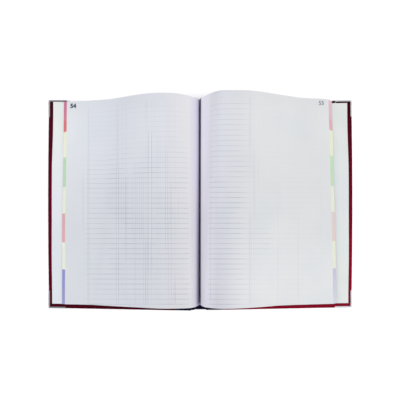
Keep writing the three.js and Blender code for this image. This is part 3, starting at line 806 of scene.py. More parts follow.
def build_stack(side):
    st, P, N, S, Y, seams, D = stack_surface(side)
    T = st["thick"]
    pre = st["pre"]
    rows, cols = S.shape
    cuts = [0] + seams + [cols - 1]
    flip = side < 0
    under = P - N * T
    under[..., 2] = np.where(S < 6.0, np.maximum(under[..., 2], 9.45), under[..., 2])  # clear of the thread at the folds
    P = P - N * D[..., None]
    S2, Y2 = print_coords(side, P, S, Y)
    # cut ends: leaves fan slightly, so that the ends are not one flat face
    depth = np.linspace(0, 1, 7)
    pieces = []
    for k in range(len(cuts) - 1):
        a, b = cuts[k], cuts[k + 1] + 1
        bld = Build()
        uv = np.stack([S[:, a:b], Y[:, a:b]], -1) * MM
        bld.grid(P[:, a:b], N[:, a:b], np.stack([S2[:, a:b], Y2[:, a:b]], -1) * MM, 0, flip)
        bld.grid(under[:, a:b], -N[:, a:b], uv, 1, not flip)
        for row, sgn in ((0, -1.0), (rows - 1, 1.0)):
            top, bot = P[row, a:b], under[row, a:b]
            pts = top[None] * (1 - depth[:, None, None]) + bot[None] * depth[:, None, None]
            pts[..., 1] -= sgn * (0.16 * np.abs(np.sin(depth * 19.0)) * (depth > 0) * (depth < 1))[:, None]
            nn = np.zeros_like(pts)
            nn[..., 1] = sgn
            uvs = np.stack([np.broadcast_to(S[row, a:b], pts.shape[:2]), np.broadcast_to(depth[:, None] * T, pts.shape[:2])], -1) * MM
            bld.grid(pts, nn, uvs, 2, (sgn > 0) != flip)
        # the fold end, and where the next length of the same leaves begins
        for col, way in ((a, -1.0), (b - 1, 1.0)):
            if col == cols - 1:
                continue
            pts = P[:, col][:, None] * (1 - depth[None, :, None]) + under[:, col][:, None] * depth[None, :, None]
            for row, sgn in ((0, -1.0), (rows - 1, 1.0)):
                pts[row, :, 1] -= sgn * 0.16 * np.abs(np.sin(depth * 19.0)) * (depth > 0) * (depth < 1)
            nn = np.zeros_like(pts)
            nn[..., 0] = way * side
            uvs = np.stack([np.broadcast_to(depth * T, pts.shape[:2]), np.broadcast_to(Y[:, col][:, None], pts.shape[:2])], -1) * MM
            bld.grid(pts, nn, uvs, 1, (way < 0) != flip)
        if k == len(cuts) - 2:  # the fore-edge: the leaves fan out in fine steps
            n_leaf = 16 if side > 0 else 12
            out_dir = P[:, -1] - P[:, -2]
            out_dir /= np.linalg.norm(out_dir, axis=1, keepdims=True)
            fan = T * st["fan"]
            prof = []
            for j in range(n_leaf):
                jit = 0.10 * (rng.random() - 0.5) if 0 < j < n_leaf - 1 else 0.0
                e = fan * j / (n_leaf - 1) + jit
                d0, d1 = T * j / n_leaf, T * (j + 1) / n_leaf
                prof.append((e, d0, 0))
                prof.append((e, d1, 1))
            verts = []
            for e, d, _ in prof:
                verts.append(P[:, -1] + out_dir * e - N[:, -1] * d)
            verts = np.stack(verts, 1)  # rows x profile x 3
            up = N[:, -1]
            for q in range(len(prof) - 1):
                seg = verts[:, q : q + 2]
                riser = prof[q][2] == 0
                nn = np.repeat((out_dir if riser else up)[:, None], 2, 1)
                # a soft shading normal between tread and riser keeps the fan calm from afar
                nn = nn * 0.65 + np.repeat(((out_dir + up) / 2)[:, None], 2, 1) * 0.35
                nn /= np.linalg.norm(nn, axis=2, keepdims=True)
                uvs = np.stack([np.broadcast_to(PAGE_WIDTH + np.array([prof[q][0] + prof[q][1], prof[q + 1][0] + prof[q + 1][1]]) , seg.shape[:2]), Y[:, :2]], -1) * MM
                bld.grid(seg, nn, uvs, 3, flip)
            # close the head and tail ends of the fan
            for row, sgn in ((0, -1.0), (rows - 1, 1.0)):
                inner = np.stack([P[row, -1] * (1 - t) + under[row, -1] * t for t in np.linspace(0, 1, len(prof))], 0)
                pts = np.stack([inner, verts[row]], 0)
                nn = np.zeros_like(pts)
                nn[..., 1] = sgn
                dd = np.broadcast_to(np.linspace(0, T, len(prof)), pts.shape[:2])
                bld.grid(pts, nn, np.stack([np.full(pts.shape[:2], PAGE_WIDTH), dd], -1) * MM, 2, (sgn > 0) == flip)
            # underside of the fan
            pts = np.stack([under[:, -1], verts[:, -1]], 1)
            nn = np.repeat(-up[:, None], 2, 1)
            bld.grid(pts, nn, np.stack([np.full(pts.shape[:2], PAGE_WIDTH), Y[:, :2]], -1) * MM, 1, not flip)
        ob = bld.make(f"{pre}_pages_{k + 1}", [M["page"][side], M["under"], M["ends"][side], M["fore"][side]])
        if k == 0:
            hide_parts(f"{pre}_leaves_1", f"{pre}_leaves_2")
        elif k < 5:
            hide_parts(f"{pre}_leaves_{k + 2}")
        # bend line k+1 in space, and the way across it
        h, t, d = st["bends"][k]
        Ms = sheet_frames(st)
        mid = (Ms[k] @ np.array(((h + t) / 2, (PAGE_HEAD + PAGE_TAIL) / 2, 0, 1.0)))[:3]
        across = np.array((PAGE_HEAD - PAGE_TAIL, -(h - t), 0.0))
        across /= np.linalg.norm(across)
        u = Ms[k][:3, :3] @ across + Ms[k + 1][:3, :3] @ across
        u /= np.linalg.norm(u)
        if side < 0:
            mid, u = mid * (-1, 1, 1), u * (-1, 1, 1)
        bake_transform(ob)
        pieces.append(ob)
    return P, N, S, Y


SURF = {1: build_stack(1), -1: build_stack(-1)}


# ------------------------------------------------------------------ page numbers
def page_number(side, text, s_mid, y_mid, height, mat, bold):
    cu = bpy.data.curves.new("num", "FONT")
    cu.body = text
    cu.align_x = "CENTER"
    cu.align_y = "CENTER"
    cu.size = height * 1.4 * MM
    cu.offset = bold * MM
    tmp = bpy.data.objects.new("num", cu)
    scene.collection.objects.link(tmp)
    dg = bpy.context.evaluated_depsgraph_get()
    me = bpy.data.meshes.new_from_object(tmp.evaluated_get(dg))
    bpy.data.objects.remove(tmp)
    st = dict(STACKS[side], side=side)
    frame_m = sheet_frames(st)[-1]
    verts, faces = [], [tuple(p.vertices) for p in me.polygons]
    for v in me.vertices:
        sx = s_mid + side * v.co.x / MM
        p = (frame_m @ np.array((sx, y_mid + v.co.y / MM, 0.06, 1.0)))[:3]
        verts.append((side * p[0], p[1], p[2]))
    ob = new_object(f"{st['pre']}_page_number", verts, faces, mats=[mat], smooth=False)
    bm = bmesh.new()
    bm.from_mesh(ob.data)
    bmesh.ops.recalc_face_normals(bm, faces=bm.faces)
    for f in bm.faces:
        if f.normal.z < 0:
            f.normal_flip()
    bm.to_mesh(ob.data)
    bm.free()
    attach(ob, st["pre"] + "_leaves_6")
    return ob


page_number(-1, "54", 194.0, 141.2, 6.1, ink_material("ink_left", (34, 46, 64)), 0.42)
page_number(1, "55", 194.4, 142.6, 5.9, ink_material("ink_right", (96, 102, 108)), 0.14)


# ------------------------------------------------------------------ covers
def tail_drop(x):
    """how far the tail edge has run out at a distance from the joint line"""
    return TAIL_DROP * np.clip(1.0 - np.asarray(x) / (COVER_END - 26.0), 0.0, 1.0)


# how far the head edge of a cover runs in, along the board from its joint, mm
HEAD_RUN = {
    -1: ([28.0, 60.0, 150.0, 180.0, 186.0, 189.2, 194.0, 200.0, 209.0, 215.2], [1.3, 1.9, 2.5, 2.3, 1.8, 0.85, 0.74, 0.63, 0.38, 0.3]),
    1: ([28.0, 60.0, 150.0, 180.0, 187.0, 189.2, 194.0, 200.0, 206.0, 211.6, 215.2], [0.6, 1.2, 2.6, 2.9, 2.7, 2.1, 1.62, 1.45, 1.3, 1.1, 1.0]),
}


def head_run(side, x):
    return np.interp(x, *HEAD_RUN[side])


def bow(x, y):
    """the fore-edge of a cover bellies out slightly between its metal corners"""
    y = np.clip(np.abs(np.asarray(y)) / 128.0, 0.0, 1.0)
    return 1.1 * (1.0 - y ** 2) * np.clip((np.asarray(x) - (COVER_END - 40.0)) / 30.0, 0.0, 1.0)


def rounded_slab(name, side, x0, x1, y0, y1, z0, z1, r, mats, round_in=0.0, seg=4):
    """a covered board: rounded along the outer edge, head and tail; its inner edge is nearly square"""
    bm = bmesh.new()
    v = [bm.verts.new(p) for p in ((x0, y0, z0), (x1, y0, z0), (x1, y1, z0), (x0, y1, z0), (x0, y0, z1), (x1, y0, z1), (x1, y1, z1), (x0, y1, z1))]
    for q in ((3, 2, 1, 0), (4, 5, 6, 7), (0, 1, 5, 4), (1, 2, 6, 5), (2, 3, 7, 6), (3, 0, 4, 7)):
        bm.faces.new([v[i] for i in q])
    outer = [e for e in bm.edges if not all(abs(w.co.x - x0) < 1e-6 for w in e.verts)]
    bmesh.ops.bevel(bm, geom=outer, offset=r, segments=seg, profile=0.5, affect="EDGES")
    for at, axis in [(x, 0) for x in (60.0, 150.0, 180.0, 186.6, COVER_END - 26.0, 200.0, COVER_END - 10.0) if x0 < x < x1] + [(16.0 * i, 1) for i in range(-8, 9)]:
        co, no = [0.0] * 3, [0.0] * 3
        co[axis], no[axis] = at, 1.0
        bmesh.ops.bisect_plane(bm, geom=bm.verts[:] + bm.edges[:] + bm.faces[:], plane_co=co, plane_no=no)
    verts = np.array([tuple(w.co) for w in bm.verts])
    verts[:, 0] += bow(verts[:, 0], verts[:, 1])
    verts[:, 1] -= np.where(verts[:, 1] < 0, tail_drop(verts[:, 0]), 0.0)
    verts[:, 1] -= np.where(verts[:, 1] > 0, head_run(side, verts[:, 0]) * smooth01((verts[:, 1] - 90.0) / 50.0), 0.0)
    W = slab_to_world(verts, side)
    for w, p in zip(bm.verts, W):
        w.co = Vector(p)
    if side < 0:
        bmesh.ops.reverse_faces(bm, faces=bm.faces)
    me = bpy.data.meshes.new(name)
    for w in bm.verts:
        w.co *= MM
    bm.to_mesh(me)
    bm.free()
    for m in mats:
        me.materials.append(m)
    ob = bpy.data.objects.new(name, me)
    scene.collection.objects.link(ob)
    shade_by_angle(ob, 32)
    return ob


def rims(bld, top, low):
    """closes the four edges of a sheet"""
    for sl in ((slice(None), -1), (0, slice(None)), (-1, slice(None)), (slice(None), 0)):
        rim = np.stack([top[sl], low[sl]], 0)
        c = rim.mean(axis=(0, 1))
        nn = np.zeros_like(rim)
        e = rim[0, 1:] - rim[0, :-1]
        w = np.cross(rim[1, 0] - rim[0, 0], e[0])
        centre = top.reshape(-1, 3).mean(0)
        w /= np.linalg.norm(w)
        out = np.dot(w, c - centre) > 0
        nn[...] = w if out else -w
        bld.grid(rim, nn, np.zeros(rim.shape[:2] + (2,)), 0, not out)


NAVY_END = 28.0
CLOTH_END = COVER_END - 0.45
CH = COVER_HALF_HEIGHT - 0.45
Z_CLOTH, SLAB_TOP = -0.85, 1.9
for side, pre in ((-1, "front"), (1, "back")):
    body = pre + "_cover"
    red = rounded_slab(f"{pre}_red_cloth", side, NAVY_END, CLOTH_END, -CH, CH, Z_CLOTH, SLAB_TOP, 0.75, [M["maroon"][side]])
    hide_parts(f"{pre}_cover_cloth")
    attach(red, body)
    # the board follows the cloth's head edge, which runs in
    inner = rounded_slab(f"{pre}_grey_board", side, 4.6, COVER_END - 1.3, -COVER_HALF_HEIGHT + 1.4, COVER_HALF_HEIGHT - 1.4, -0.4, 1.5, 0.2, [M["board"]], seg=2)
    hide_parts(f"{pre}_board")
    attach(inner, body)
    navy = rounded_slab(f"{pre}_navy_cloth", side, 4.0, NAVY_END + 0.02, -CH + 0.12, CH - 0.12, Z_CLOTH + 0.12, SLAB_TOP - 0.1, 0.7, [M["navy"]])
    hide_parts(f"{pre}_spine_cloth_flap")
    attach(navy, body)
    # pastedown: the turned-in cloth shows through it as a low step
    x0, x1, y0, y1 = 5.1, COVER_END - 6.4, PAGE_TAIL + 0.2, PAGE_HEAD + (0.9 if side < 0 else -0.9)
    xs = np.concatenate([np.linspace(x0, CLOTH_END - 18, 12), np.linspace(CLOTH_END - 16, CLOTH_END - 12, 9), np.linspace(CLOTH_END - 11, x1 - 0.3, 4), [x1 - 0.1, x1]])
    ys = np.concatenate([[y0, y0 + 0.1, y0 + 0.4], np.linspace(y0 + 3, -CH + 12, 3), np.linspace(-CH + 12.6, -CH + 16, 8), np.linspace(-CH + 22, CH - 22, 16), np.linspace(CH - 16, CH - 12.6, 8), np.linspace(CH - 12, y1 - 3, 3), [y1 - 0.4, y1 - 0.1, y1]])
    X, Yg = np.meshgrid(xs, ys)
    def ss(t):
        t = np.clip(t, 0, 1)
        return t * t * (3 - 2 * t)
    step = np.maximum(ss((X - (CLOTH_END - 15)) / 2.2), ss((np.abs(Yg) - (CH - 15)) / 2.2))
    edge = np.minimum(np.minimum(x1 - X, Yg - y0), y1 - Yg)
    Zt = 2.02 + 0.16 * step + 0.03 * np.sin(X * 0.05) * np.sin(Yg * 0.043) - 0.12 * (1 - ss(edge / 0.35))
    Xb = X + bow(X + 7.0, Yg) + (0.5 * smooth01((-Yg - 20.0) / 60.0) - 1.15 * smooth01((Yg - 50.0) / 60.0)) * smooth01((X - (x1 - 14.0)) / 12.0)
    Yb = Yg - head_run(side, X) * smooth01((Yg - 100.0) / 40.0)
    top = slab_to_world(np.stack([Xb, Yb, Zt], -1), side)
    nrm = np.cross(np.gradient(top, axis=1), np.gradient(top, axis=0)) * side
    nrm /= np.linalg.norm(nrm, axis=2, keepdims=True)
    bld = Build()
    uv = np.stack([X, Yg], -1) * MM
    bld.grid(top, nrm, uv, 0, side < 0)
    low = slab_to_world(np.stack([Xb, Yb, np.full_like(X, 1.92)], -1), side)
    bld.grid(low, -nrm, uv, 0, side > 0)
    rims(bld, top, low)
    past = bld.make(f"{pre}_pastedown_sheet", [M["lining"][side]])
    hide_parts(f"{pre}_pastedown")
    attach(past, body)
    # free endpaper, lying on the pastedown; its head edge runs in with the cover
    X, Yg = np.meshgrid(np.linspace(5.1, 191.0 if side > 0 else 194.0, 48), np.concatenate([np.linspace(PAGE_TAIL, 100, 14), np.linspace(104, PAGE_HEAD, 14)]))
    Yb = Yg - np.maximum(0.0, head_run(side, X) - (-0.2 if side > 0 else 0.65)) * smooth01((Yg - 100.0) / 45.0)
    Zt = 2.40 + 0.02 * np.sin(X * 0.06) * np.sin(Yg * 0.05)
    top = slab_to_world(np.stack([X, Yb, Zt], -1), side)
    nrm = np.cross(np.gradient(top, axis=1), np.gradient(top, axis=0)) * side
    nrm /= np.linalg.norm(nrm, axis=2, keepdims=True)
    bld = Build()
    uv = np.stack([X, Yg], -1) * MM
    bld.grid(top, nrm, uv, 0)
    low = slab_to_world(np.stack([X, Yb, np.full_like(X, 2.30)], -1), side)
    bld.grid(low, -nrm, uv, 0)
    rims(bld, top, low)
    free = bld.make(f"{pre}_free_endpaper", [M["lining"][side]])
    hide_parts(f"{pre}_flyleaf")
    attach(free, body)


# ------------------------------------------------------------------ metal corners
def corner(name, side, end):
    X, Yc, LEG, R, FL = COVER_END, COVER_HALF_HEIGHT, 26.0, 1.7, 2.7
    PLATE = 4.6
    z0, z1 = COVER_LOW, 2.35
    prof = [(FL, z1 - 0.05), (FL - 0.08, z1), (0.8, z1)]
    for i in range(1, 6):
        a = i / 6 * math.pi / 2
        prof.append((0.8 - 0.8 * math.sin(a), z1 - 0.8 + 0.8 * math.cos(a)))
    prof += [(0.0, z1 - 0.8), (0.0, z0 + 0.8)]
    for i in range(1, 6):
        a = i / 6 * math.pi / 2
        prof.append((0.8 - 0.8 * math.cos(a), z0 + 0.8 - 0.8 * math.sin(a)))
    prof += [(0.8, z0), (PLATE, z0), (PLATE, z0 + 0.35), (0.9, z0 + 0.35), (0.35, z0 + 0.9), (0.35, z1 - 0.9), (0.9, z1 - 0.35), (FL, z1 - 0.35)]
    path = [("x", X - LEG + t) for t in (0.0, 0.12, 0.4, 6, 12, 18)] + [("x", X - R)]
    path += [("a", a) for a in np.linspace(0, math.pi / 2, 9)[1:-1]]
    path += [("y", Yc - R)] + [("y", Yc - LEG + t) for t in (18, 12, 6, 0.4, 0.12, 0.0)]
    rows = []
    for kind, t in path:
        row = []
        shrink = 0.0
        for d, z in prof:
            if kind == "x":
                p = (t if d < R or t < X - R else min(t, X - d), Yc - d)
                if t > X - d:
                    p = (X - d, Yc - d)
            elif kind == "y":
                p = (X - d, t)
                if t > Yc - d:
                    p = (X - d, Yc - d)
            else:
                if d < R:
                    p = (X - R + (R - d) * math.sin(t), Yc - R + (R - d) * math.cos(t))
                else:
                    p = (X - d, Yc - d)
            if kind == "y" and z > z1 - 0.2 and d < FL:  # the fore-edge leg is pressed down more towards the outside
                z -= 0.34 * (1.0 - d / FL) * smooth01((Yc - R - t) / 4.0)
            row.append((p[0], p[1], z))
        rows.append(row)
    A = np.array(rows)

    def run_in(x, y):
        return head_run(side, x) * np.clip((y - (Yc - LEG)) / LEG, 0.0, 1.0) if end > 0 else 0.0

    A[..., 1] -= run_in(A[..., 0], A[..., 1])
    A[..., 1] *= end
    W = slab_to_world(A, side)
    r, c = A.shape[:2]
    bm = bmesh.new()
    vs = [[bm.verts.new(W[i, j]) for j in range(c)] for i in range(r)]
    for i in range(r - 1):
        for j in range(c):
            q = [vs[i][j], vs[i + 1][j], vs[i + 1][(j + 1) % c], vs[i][(j + 1) % c]]
            bm.faces.new(q)
    bm.faces.new(vs[0])
    bm.faces.new(vs[-1][::-1])
    # the three-cornered plate outside, its free edge pressed down in a shallow bead
    tri = [(X - LEG, Yc - PLATE), (X - PLATE, Yc - LEG), (X - PLATE, Yc - PLATE)]
    def plate_pt(u, v, z):
        a, b, cc = (np.array(q) for q in tri)
        p = cc + (a - cc) * u + (b - cc) * v
        p = np.array((p[0], p[1] - float(run_in(p[0], p[1]))))
        return slab_to_world(np.array((p[0], p[1] * end, z)), side)
    n = 14
    def plate_z(u, v):
        w = 1 - u - v  # nought at the free edge
        return z0 + 0.35 * 0.0 - 0.0 + 0.12 * math.exp(-(((w - 0.10) / 0.035) ** 2))
    tops, bots = {}, {}
    for i in range(n + 1):
        for j in range(n + 1 - i):
            u, v = i / n, j / n
            tops[i, j] = bm.verts.new(plate_pt(u, v, plate_z(u, v)))
            bots[i, j] = bm.verts.new(plate_pt(u, v, z0 + 0.35))
    for d, rev in ((tops, True), (bots, False)):
        for i in range(n):
            for j in range(n - i):
                t = [d[i, j], d[i + 1, j], d[i, j + 1]]
                bm.faces.new(t[::-1] if rev else t)
                if j < n - i - 1:
                    t = [d[i + 1, j], d[i + 1, j + 1], d[i, j + 1]]
                    bm.faces.new(t[::-1] if rev else t)
    for i in range(n):
        a, b2 = (i, n - i), (i + 1, n - i - 1)
        bm.faces.new([tops[a], tops[b2], bots[b2], bots[a]])
        for a, b2 in (((i, 0), (i + 1, 0)), ((0, i), (0, i + 1))):  # its two sides inside the fold of the edge
            bm.faces.new([tops[a], tops[b2], bots[b2], bots[a]])
    bmesh.ops.remove_doubles(bm, verts=bm.verts, dist=1e-4)
    bmesh.ops.dissolve_degenerate(bm, edges=bm.edges, dist=1e-5)
    bmesh.ops.recalc_face_normals(bm, faces=bm.faces)
    for w in bm.verts:
        w.co *= MM
    me = bpy.data.meshes.new(name)
    bm.to_mesh(me)
    bm.free()
    me.materials.append(M["nickel"][side, end])
    ob = bpy.data.objects.new(name, me)
    scene.collection.objects.link(ob)
    shade_by_angle(ob, 38)
    return ob


for side, pre in ((-1, "front"), (1, "back")):
    for end, where in ((1, "head"), (-1, "tail")):
        ob = corner(f"{pre}_{where}_corner_metal", side, end)
        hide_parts(f"{pre}_{where}_corner")
        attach(ob, pre + "_cover")


# ------------------------------------------------------------------ spine cloth and joints
def smooth_path(pts, n):
    """Catmull-Rom through the points"""
    P = np.array(pts, float)
    P = np.vstack([2 * P[0] - P[1], P, 2 * P[-1] - P[-2]])
    out = []
    for i in range(1, len(P) - 2):
        for t in np.linspace(0, 1, n, endpoint=False):
            a, b, c, d = P[i - 1], P[i], P[i + 1], P[i + 2]
            out.append(0.5 * (2 * b + (c - a) * t + (2 * a - 5 * b + 4 * c - d) * t * t + (3 * b - a - 3 * c + d) * t ** 3))
    out.append(P[-2])
    return np.array(out)


def cross_sheet(name, path, thick, y_of, mats, side, inside_sign, ny=60):
    """a sheet that follows a path in x and z and runs the height of the book; thick to its inner side"""
    tan = np.gradient(path, axis=0)
    tan /= np.linalg.norm(tan, axis=1, keepdims=True)
    nor = np.stack([-tan[:, 1], tan[:, 0]], 1) * inside_sign  # towards the inside
    arc = np.concatenate([[0], np.cumsum(np.linalg.norm(np.diff(path, axis=0), axis=1))])
    inner = path + nor * thick
    bld = Build()
    vv = np.linspace(0, 1, ny)
    e = 0.5 * thick
    def surface(line, normal_sign, flip, shrink):
        P = np.zeros((ny, len(line), 3))
        U = np.zeros((ny, len(line), 2))
        Nn = np.zeros_like(P)
        for j, (x, z) in enumerate(line):
            y0, y1 = y_of(x)
            yy = (y0 + shrink) + (y1 - y0 - 2 * shrink) * vv
            P[:, j] = np.stack([np.full(ny, side * x), yy, np.full(ny, z)], 1)
            U[:, j] = np.stack([np.full(ny, arc[j]), yy], 1) * MM
            Nn[:, j] = (side * nor[j, 0] * normal_sign, 0, nor[j, 1] * normal_sign)
        bld.grid(P, Nn, U, 0, flip)
        return P
    fl = (inside_sign > 0) == (side > 0)
    A = surface(path, -1, fl, 0.0)
    B = surface(inner, 1, not fl, 0.0)
    for row, sgn in ((0, -1), (-1, 1)):
        rim = np.stack([A[row], B[row]], 0)
        nn = np.zeros_like(rim)
        nn[..., 1] = sgn
        uv = np.stack([np.stack([arc, arc]), np.stack([np.zeros(len(arc)), np.full(len(arc), thick)])], -1) * MM
        bld.grid(rim, nn, uv, 0, (sgn > 0) != fl)
    return bld.make(name, mats)


def head_tail(x):
    t = min(1.0, max(0.0, (abs(x) - 7.0) / 6.5))
    t = t * t * (3 - 2 * t)
    low = -CH + 0.12 - float(tail_drop(max(0.0, abs(x) - HINGE_X)))
    return (low, (CH - 0.12) * t + 150.6 * (1 - t))


edge_pt = slab_to_world(np.array((4.0, 0, Z_CLOTH + 0.12)), 1)
far_pt = slab_to_world(np.array((5.2, 0, Z_CLOTH + 0.12)), 1)
outer = smooth_path([
    (far_pt[0], far_pt[2]), (edge_pt[0], edge_pt[2]), (11.6, 9.15), (10.3, 9.25), (9.2, 8.6), (8.3, 7.2), (7.75, 5.9),
    (7.2, 4.95), (6.3, 4.58), (4.5, 4.42), (2.2, 4.33), (0.0, 4.3)], 5)
for side, pre in ((-1, "front"), (1, "back")):
    ob = cross_sheet(f"{pre}_spine_cloth_joint", outer, 0.42, head_tail, [M["navy_uv"]], side, -1)
    if side < 0:
        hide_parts("spine_cloth")
    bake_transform(ob)

# the cloth is turned in over both ends of the spine strip
def turn_in(name, y0, y1):
    n = 26
    xs = np.linspace(-7.0, 7.0, n)
    bm = bmesh.new()
    yr = np.linspace(y0, y1, 10)
    outer_y = y0 if y0 < 0 else y1
    grids = []
    for h in (7.42, 7.02):
        g = []
        for y in yr:
            drop = max(0.0, 1.0 - abs(y - outer_y) / 0.9)
            g.append([bm.verts.new((x, y, h - (0.32 * drop ** 2 if h > 7.2 else 0.0) - 0.10 * (abs(x) / 7.0) ** 6)) for x in xs])
        grids.append(g)
    for g in grids:
        for i in range(len(yr) - 1):
            for j in range(n - 1):
                bm.faces.new([g[i][j], g[i][j + 1], g[i + 1][j + 1], g[i + 1][j]])
    a, b = grids
    for i in range(len(yr) - 1):
        for j in (0, -1):
            bm.faces.new([a[i][j], a[i + 1][j], b[i + 1][j], b[i][j]])
    for i in (0, -1):
        for j in range(n - 1):
            bm.faces.new([a[i][j], a[i][j + 1], b[i][j + 1], b[i][j]])
    # down over the end of the strip to the outer cloth
    e = -0.05 if y0 < 0 else 0.05
    rows = [[bm.verts.new((x, outer_y + e * k, z)) for x in xs] for k, z in ((0, 7.05), (4, 6.6), (5, 5.8), (4, 5.0), (0, 4.5))]
    back = [[bm.verts.new((x, outer_y - e * 4, z)) for x in xs] for z in (7.05, 6.6, 5.8, 5.0, 4.5)]
    for g in (rows, back):
        for i in range(4):
            for j in range(n - 1):
                bm.faces.new([g[i][j], g[i][j + 1], g[i + 1][j + 1], g[i + 1][j]])
    for i in range(4):
        for j in (0, -1):
            bm.faces.new([rows[i][j], rows[i + 1][j], back[i + 1][j], back[i][j]])
    for i in (0, -1):
        for j in range(n - 1):
            bm.faces.new([rows[i][j], rows[i][j + 1], back[i][j + 1], back[i][j]])
    bmesh.ops.recalc_face_normals(bm, faces=bm.faces)
    for w in bm.verts:
        w.co *= MM
    me = bpy.data.meshes.new(name)
    bm.to_mesh(me)
    bm.free()
    me.materials.append(M["navy"])
    ob = bpy.data.objects.new(name, me)
    scene.collection.objects.link(ob)
    shade_by_angle(ob, 50)
    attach(ob, "spine")


turn_in("spine_turn_in_tail", -CH - TAIL_DROP + 0.25, -CH - TAIL_DROP + 14.0)
turn_in("spine_turn_in_head", 150.4 - 14.0, 150.15)

# the endpaper runs from the board across the joint to the back of the leaves
ep0 = slab_to_world(np.array((9.0, 0, 2.30)), 1)
ep1 = slab_to_world(np.array((6.0, 0, 2.30)), 1)
hinge_path = smooth_path([(ep0[0], ep0[2]), (ep1[0], ep1[2]), (12.2, 11.0), (9.6, 9.9), (7.2, 9.05), (5.4, 8.75), (4.35, 8.9)], 5)
for side, pre in ((-1, "front"), (1, "back")):
    ob = cross_sheet(f"{pre}_endpaper_joint", hinge_path, 0.16, lambda x: (PAGE_TAIL + 0.1, PAGE_HEAD - 0.1), [M["hinge_paper"]], side, 1)
    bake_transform(ob)


# ------------------------------------------------------------------ bands, folds and thread
def worked_band(name, y, node):
    """a bead wrapped in coloured silk, ribbed where the turns lie side by side, on its tape"""
    nx, na = 160, 20
    xs = np.linspace(-3.9, 3.7, nx)
    bm = bmesh.new()
    rings = []
    for i, x in enumerate(xs):
        ends = min(1.0, min(x + 3.9, 3.7 - x) / 0.35)
        r = (0.42 + 0.045 * abs(math.sin(math.pi * x / 0.42))) * math.sqrt(max(0.02, ends * (2 - ends)))
        rings.append([bm.verts.new((x, y + r * math.cos(a), 7.95 + r * math.sin(a))) for a in np.linspace(0, 2 * math.pi, na, endpoint=False)])
    for i in range(nx - 1):
        for j in range(na):
            bm.faces.new([rings[i][j], rings[i + 1][j], rings[i + 1][(j + 1) % na], rings[i][(j + 1) % na]])
    bm.faces.new(rings[0])
    bm.faces.new(rings[-1][::-1])
    back = -6.0 if y > 0 else 6.0
    ta = [[bm.verts.new((x, yy, z)) for x in np.linspace(-3.8, 3.6, 12)] for yy, z in ((y, 8.1), (y + back, 8.1), (y + back, 7.85), (y, 7.85))]
    for i in range(4):
        for j in range(11):
            bm.faces.new([ta[i][j], ta[i][j + 1], ta[(i + 1) % 4][j + 1], ta[(i + 1) % 4][j]])
    bm.faces.new([row[0] for row in ta])
    bm.faces.new([row[-1] for row in ta][::-1])
    bmesh.ops.recalc_face_normals(bm, faces=bm.faces)
    for w in bm.verts:
        w.co *= MM
    me = bpy.data.meshes.new(name)
    bm.to_mesh(me)
    bm.free()
    me.materials.append(M["band"])
    ob = bpy.data.objects.new(name, me)
    scene.collection.objects.link(ob)
    shade_by_angle(ob, 50)
    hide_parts(node)
    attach(ob, "spine")
    return ob


worked_band("head_band_bead", PAGE_HEAD - 0.2, "head_band")
worked_band("tail_band_bead", PAGE_TAIL + 0.2, "tail_band")


def section_backs():
    """the sewn backs of the sections: a row of folded edges side by side"""
    n = 7
    w = 8.0 / n
    prof = []
    for i in range(n):
        x0 = -4.1 + i * w
        for t in np.linspace(0, 1, 9)[: 9 if i == n - 1 else 8]:
            prof.append((x0 + w * t, 8.95 - 0.36 * math.sqrt(max(0.0, 1 - (2 * t - 1) ** 2))))
    prof = np.array(prof)
    ys = np.linspace(PAGE_TAIL, PAGE_HEAD, 50)
    bm = bmesh.new()
    low = [[bm.verts.new((x, y, z)) for x, z in prof] for y in ys]
    high = [[bm.verts.new((x, y, 9.15)) for x, z in prof] for y in ys]
    for g in (low, high):
        for i in range(len(ys) - 1):
            for j in range(len(prof) - 1):
                bm.faces.new([g[i][j], g[i][j + 1], g[i + 1][j + 1], g[i + 1][j]])
    for i in range(len(ys) - 1):
        for j in (0, -1):
            bm.faces.new([low[i][j], low[i + 1][j], high[i + 1][j], high[i][j]])
    for i in (0, -1):
        for j in range(len(prof) - 1):
            bm.faces.new([low[i][j], low[i][j + 1], high[i][j + 1], high[i][j]])
    bmesh.ops.recalc_face_normals(bm, faces=bm.faces)
    for v in bm.verts:
        v.co *= MM
    me = bpy.data.meshes.new("section_backs")
    bm.to_mesh(me)
    bm.free()
    me.materials.append(M["folds"])
    ob = bpy.data.objects.new("section_backs", me)
    scene.collection.objects.link(ob)
    shade_by_angle(ob, 40)
    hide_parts("section_folds")
    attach(ob, "spine")


section_backs()


# ------------------------------------------------------------------ carried-over CAD nodes
def dress(node, mat):
    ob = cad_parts[node]
    ob.data.materials.clear()
    ob.data.materials.append(mat)
    for s in ob.material_slots:
        s.material = mat


dress("spine_strip", M["board"])
dress("spine_mull", M["mull"])
dress("sewing_thread", M["thread"])


# ------------------------------------------------------------------ floor, light, camera
me = bpy.data.meshes.new("floor")
me.from_pydata([(-4, -4, -0.0003), (4, -4, -0.0003), (4, 4, -0.0003), (-4, 4, -0.0003)], [], [(0, 1, 2, 3)])
floor = bpy.data.objects.new("floor", me)
scene.collection.objects.link(floor)
fm, fnt, fb = material("pale_floor", base=(0.93, 0.93, 0.935), rough=0.9)
fb.inputs["Specular IOR Level"].default_value = 0.1
me.materials.append(fm)

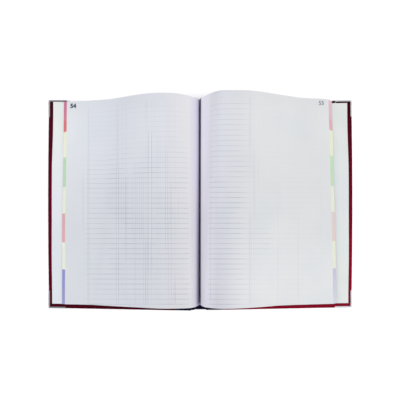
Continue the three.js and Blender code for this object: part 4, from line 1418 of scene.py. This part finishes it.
world = bpy.data.worlds.new("studio")
scene.world = world
world.use_nodes = True
wn = Nodes(world.node_tree)
sky = wn.coord("Generated")
wx, wy, wz = wn.xyz(sky)
bright = wn.ramp(wz, [(0.0, (0.95, 0.95, 0.95)), (0.50, (1.0, 1.0, 1.0)), (0.74, (0.80, 0.80, 0.81)), (0.86, (0.42, 0.42, 0.44)), (1.0, (0.32, 0.32, 0.34))])
lop = wn.range(wx, -0.45, 0.45, 0.62, 1.25)
both = wn.math("MULTIPLY", lop, 1.0)
level = wn.nt.nodes.new("ShaderNodeCombineXYZ")
for i in range(3):
    wn.put(level.inputs[i], both)
upper = wn.range(wz, 0.55, 0.80)
bright = wn.mix(upper, bright, wn.mix(1.0, bright, level.outputs[0], "MULTIPLY"))
wn.put(world.node_tree.nodes["Background"].inputs[0], bright)
world.node_tree.nodes["Background"].inputs[1].default_value = 1.0


def area(name, loc, target, size, power, color=(1, 1, 1)):
    li = bpy.data.lights.new(name, "AREA")
    li.shape = "RECTANGLE"
    li.size, li.size_y = size
    li.energy = power
    li.color = color
    ob = bpy.data.objects.new(name, li)
    scene.collection.objects.link(ob)
    ob.location = loc
    ob.rotation_mode = "QUATERNION"
    ob.rotation_quaternion = (Vector(target) - Vector(loc)).to_track_quat("-Z", "Y")
    ob.visible_camera = False
    ob.visible_glossy = False
    return ob


area("key", (0.9, 0.0, 1.35), (0, 0, 0), (1.1, 1.3), 14.5)
area("fill", (-1.1, -0.1, 1.25), (0, 0, 0), (1.2, 1.4), 8.5)
area("front", (0.0, -1.3, 0.7), (0, -0.1, 0), (1.8, 0.8), 5.0)

cam_data = bpy.data.cameras.new("camera")
cam = bpy.data.objects.new("camera", cam_data)
scene.collection.objects.link(cam)
cam.location = (0.0, -0.025, 0.400)
cam.rotation_euler = (0, 0, 0)
cam_data.sensor_width = 36.0
cam_data.lens = 24.22
cam_data.shift_x = -0.000625
cam_data.shift_y = 0.0514
cam_data.clip_start = 0.01
cam_data.clip_end = 50.0
scene.camera = cam
scene.view_settings.view_transform = "Standard"
scene.view_settings.look = "None"
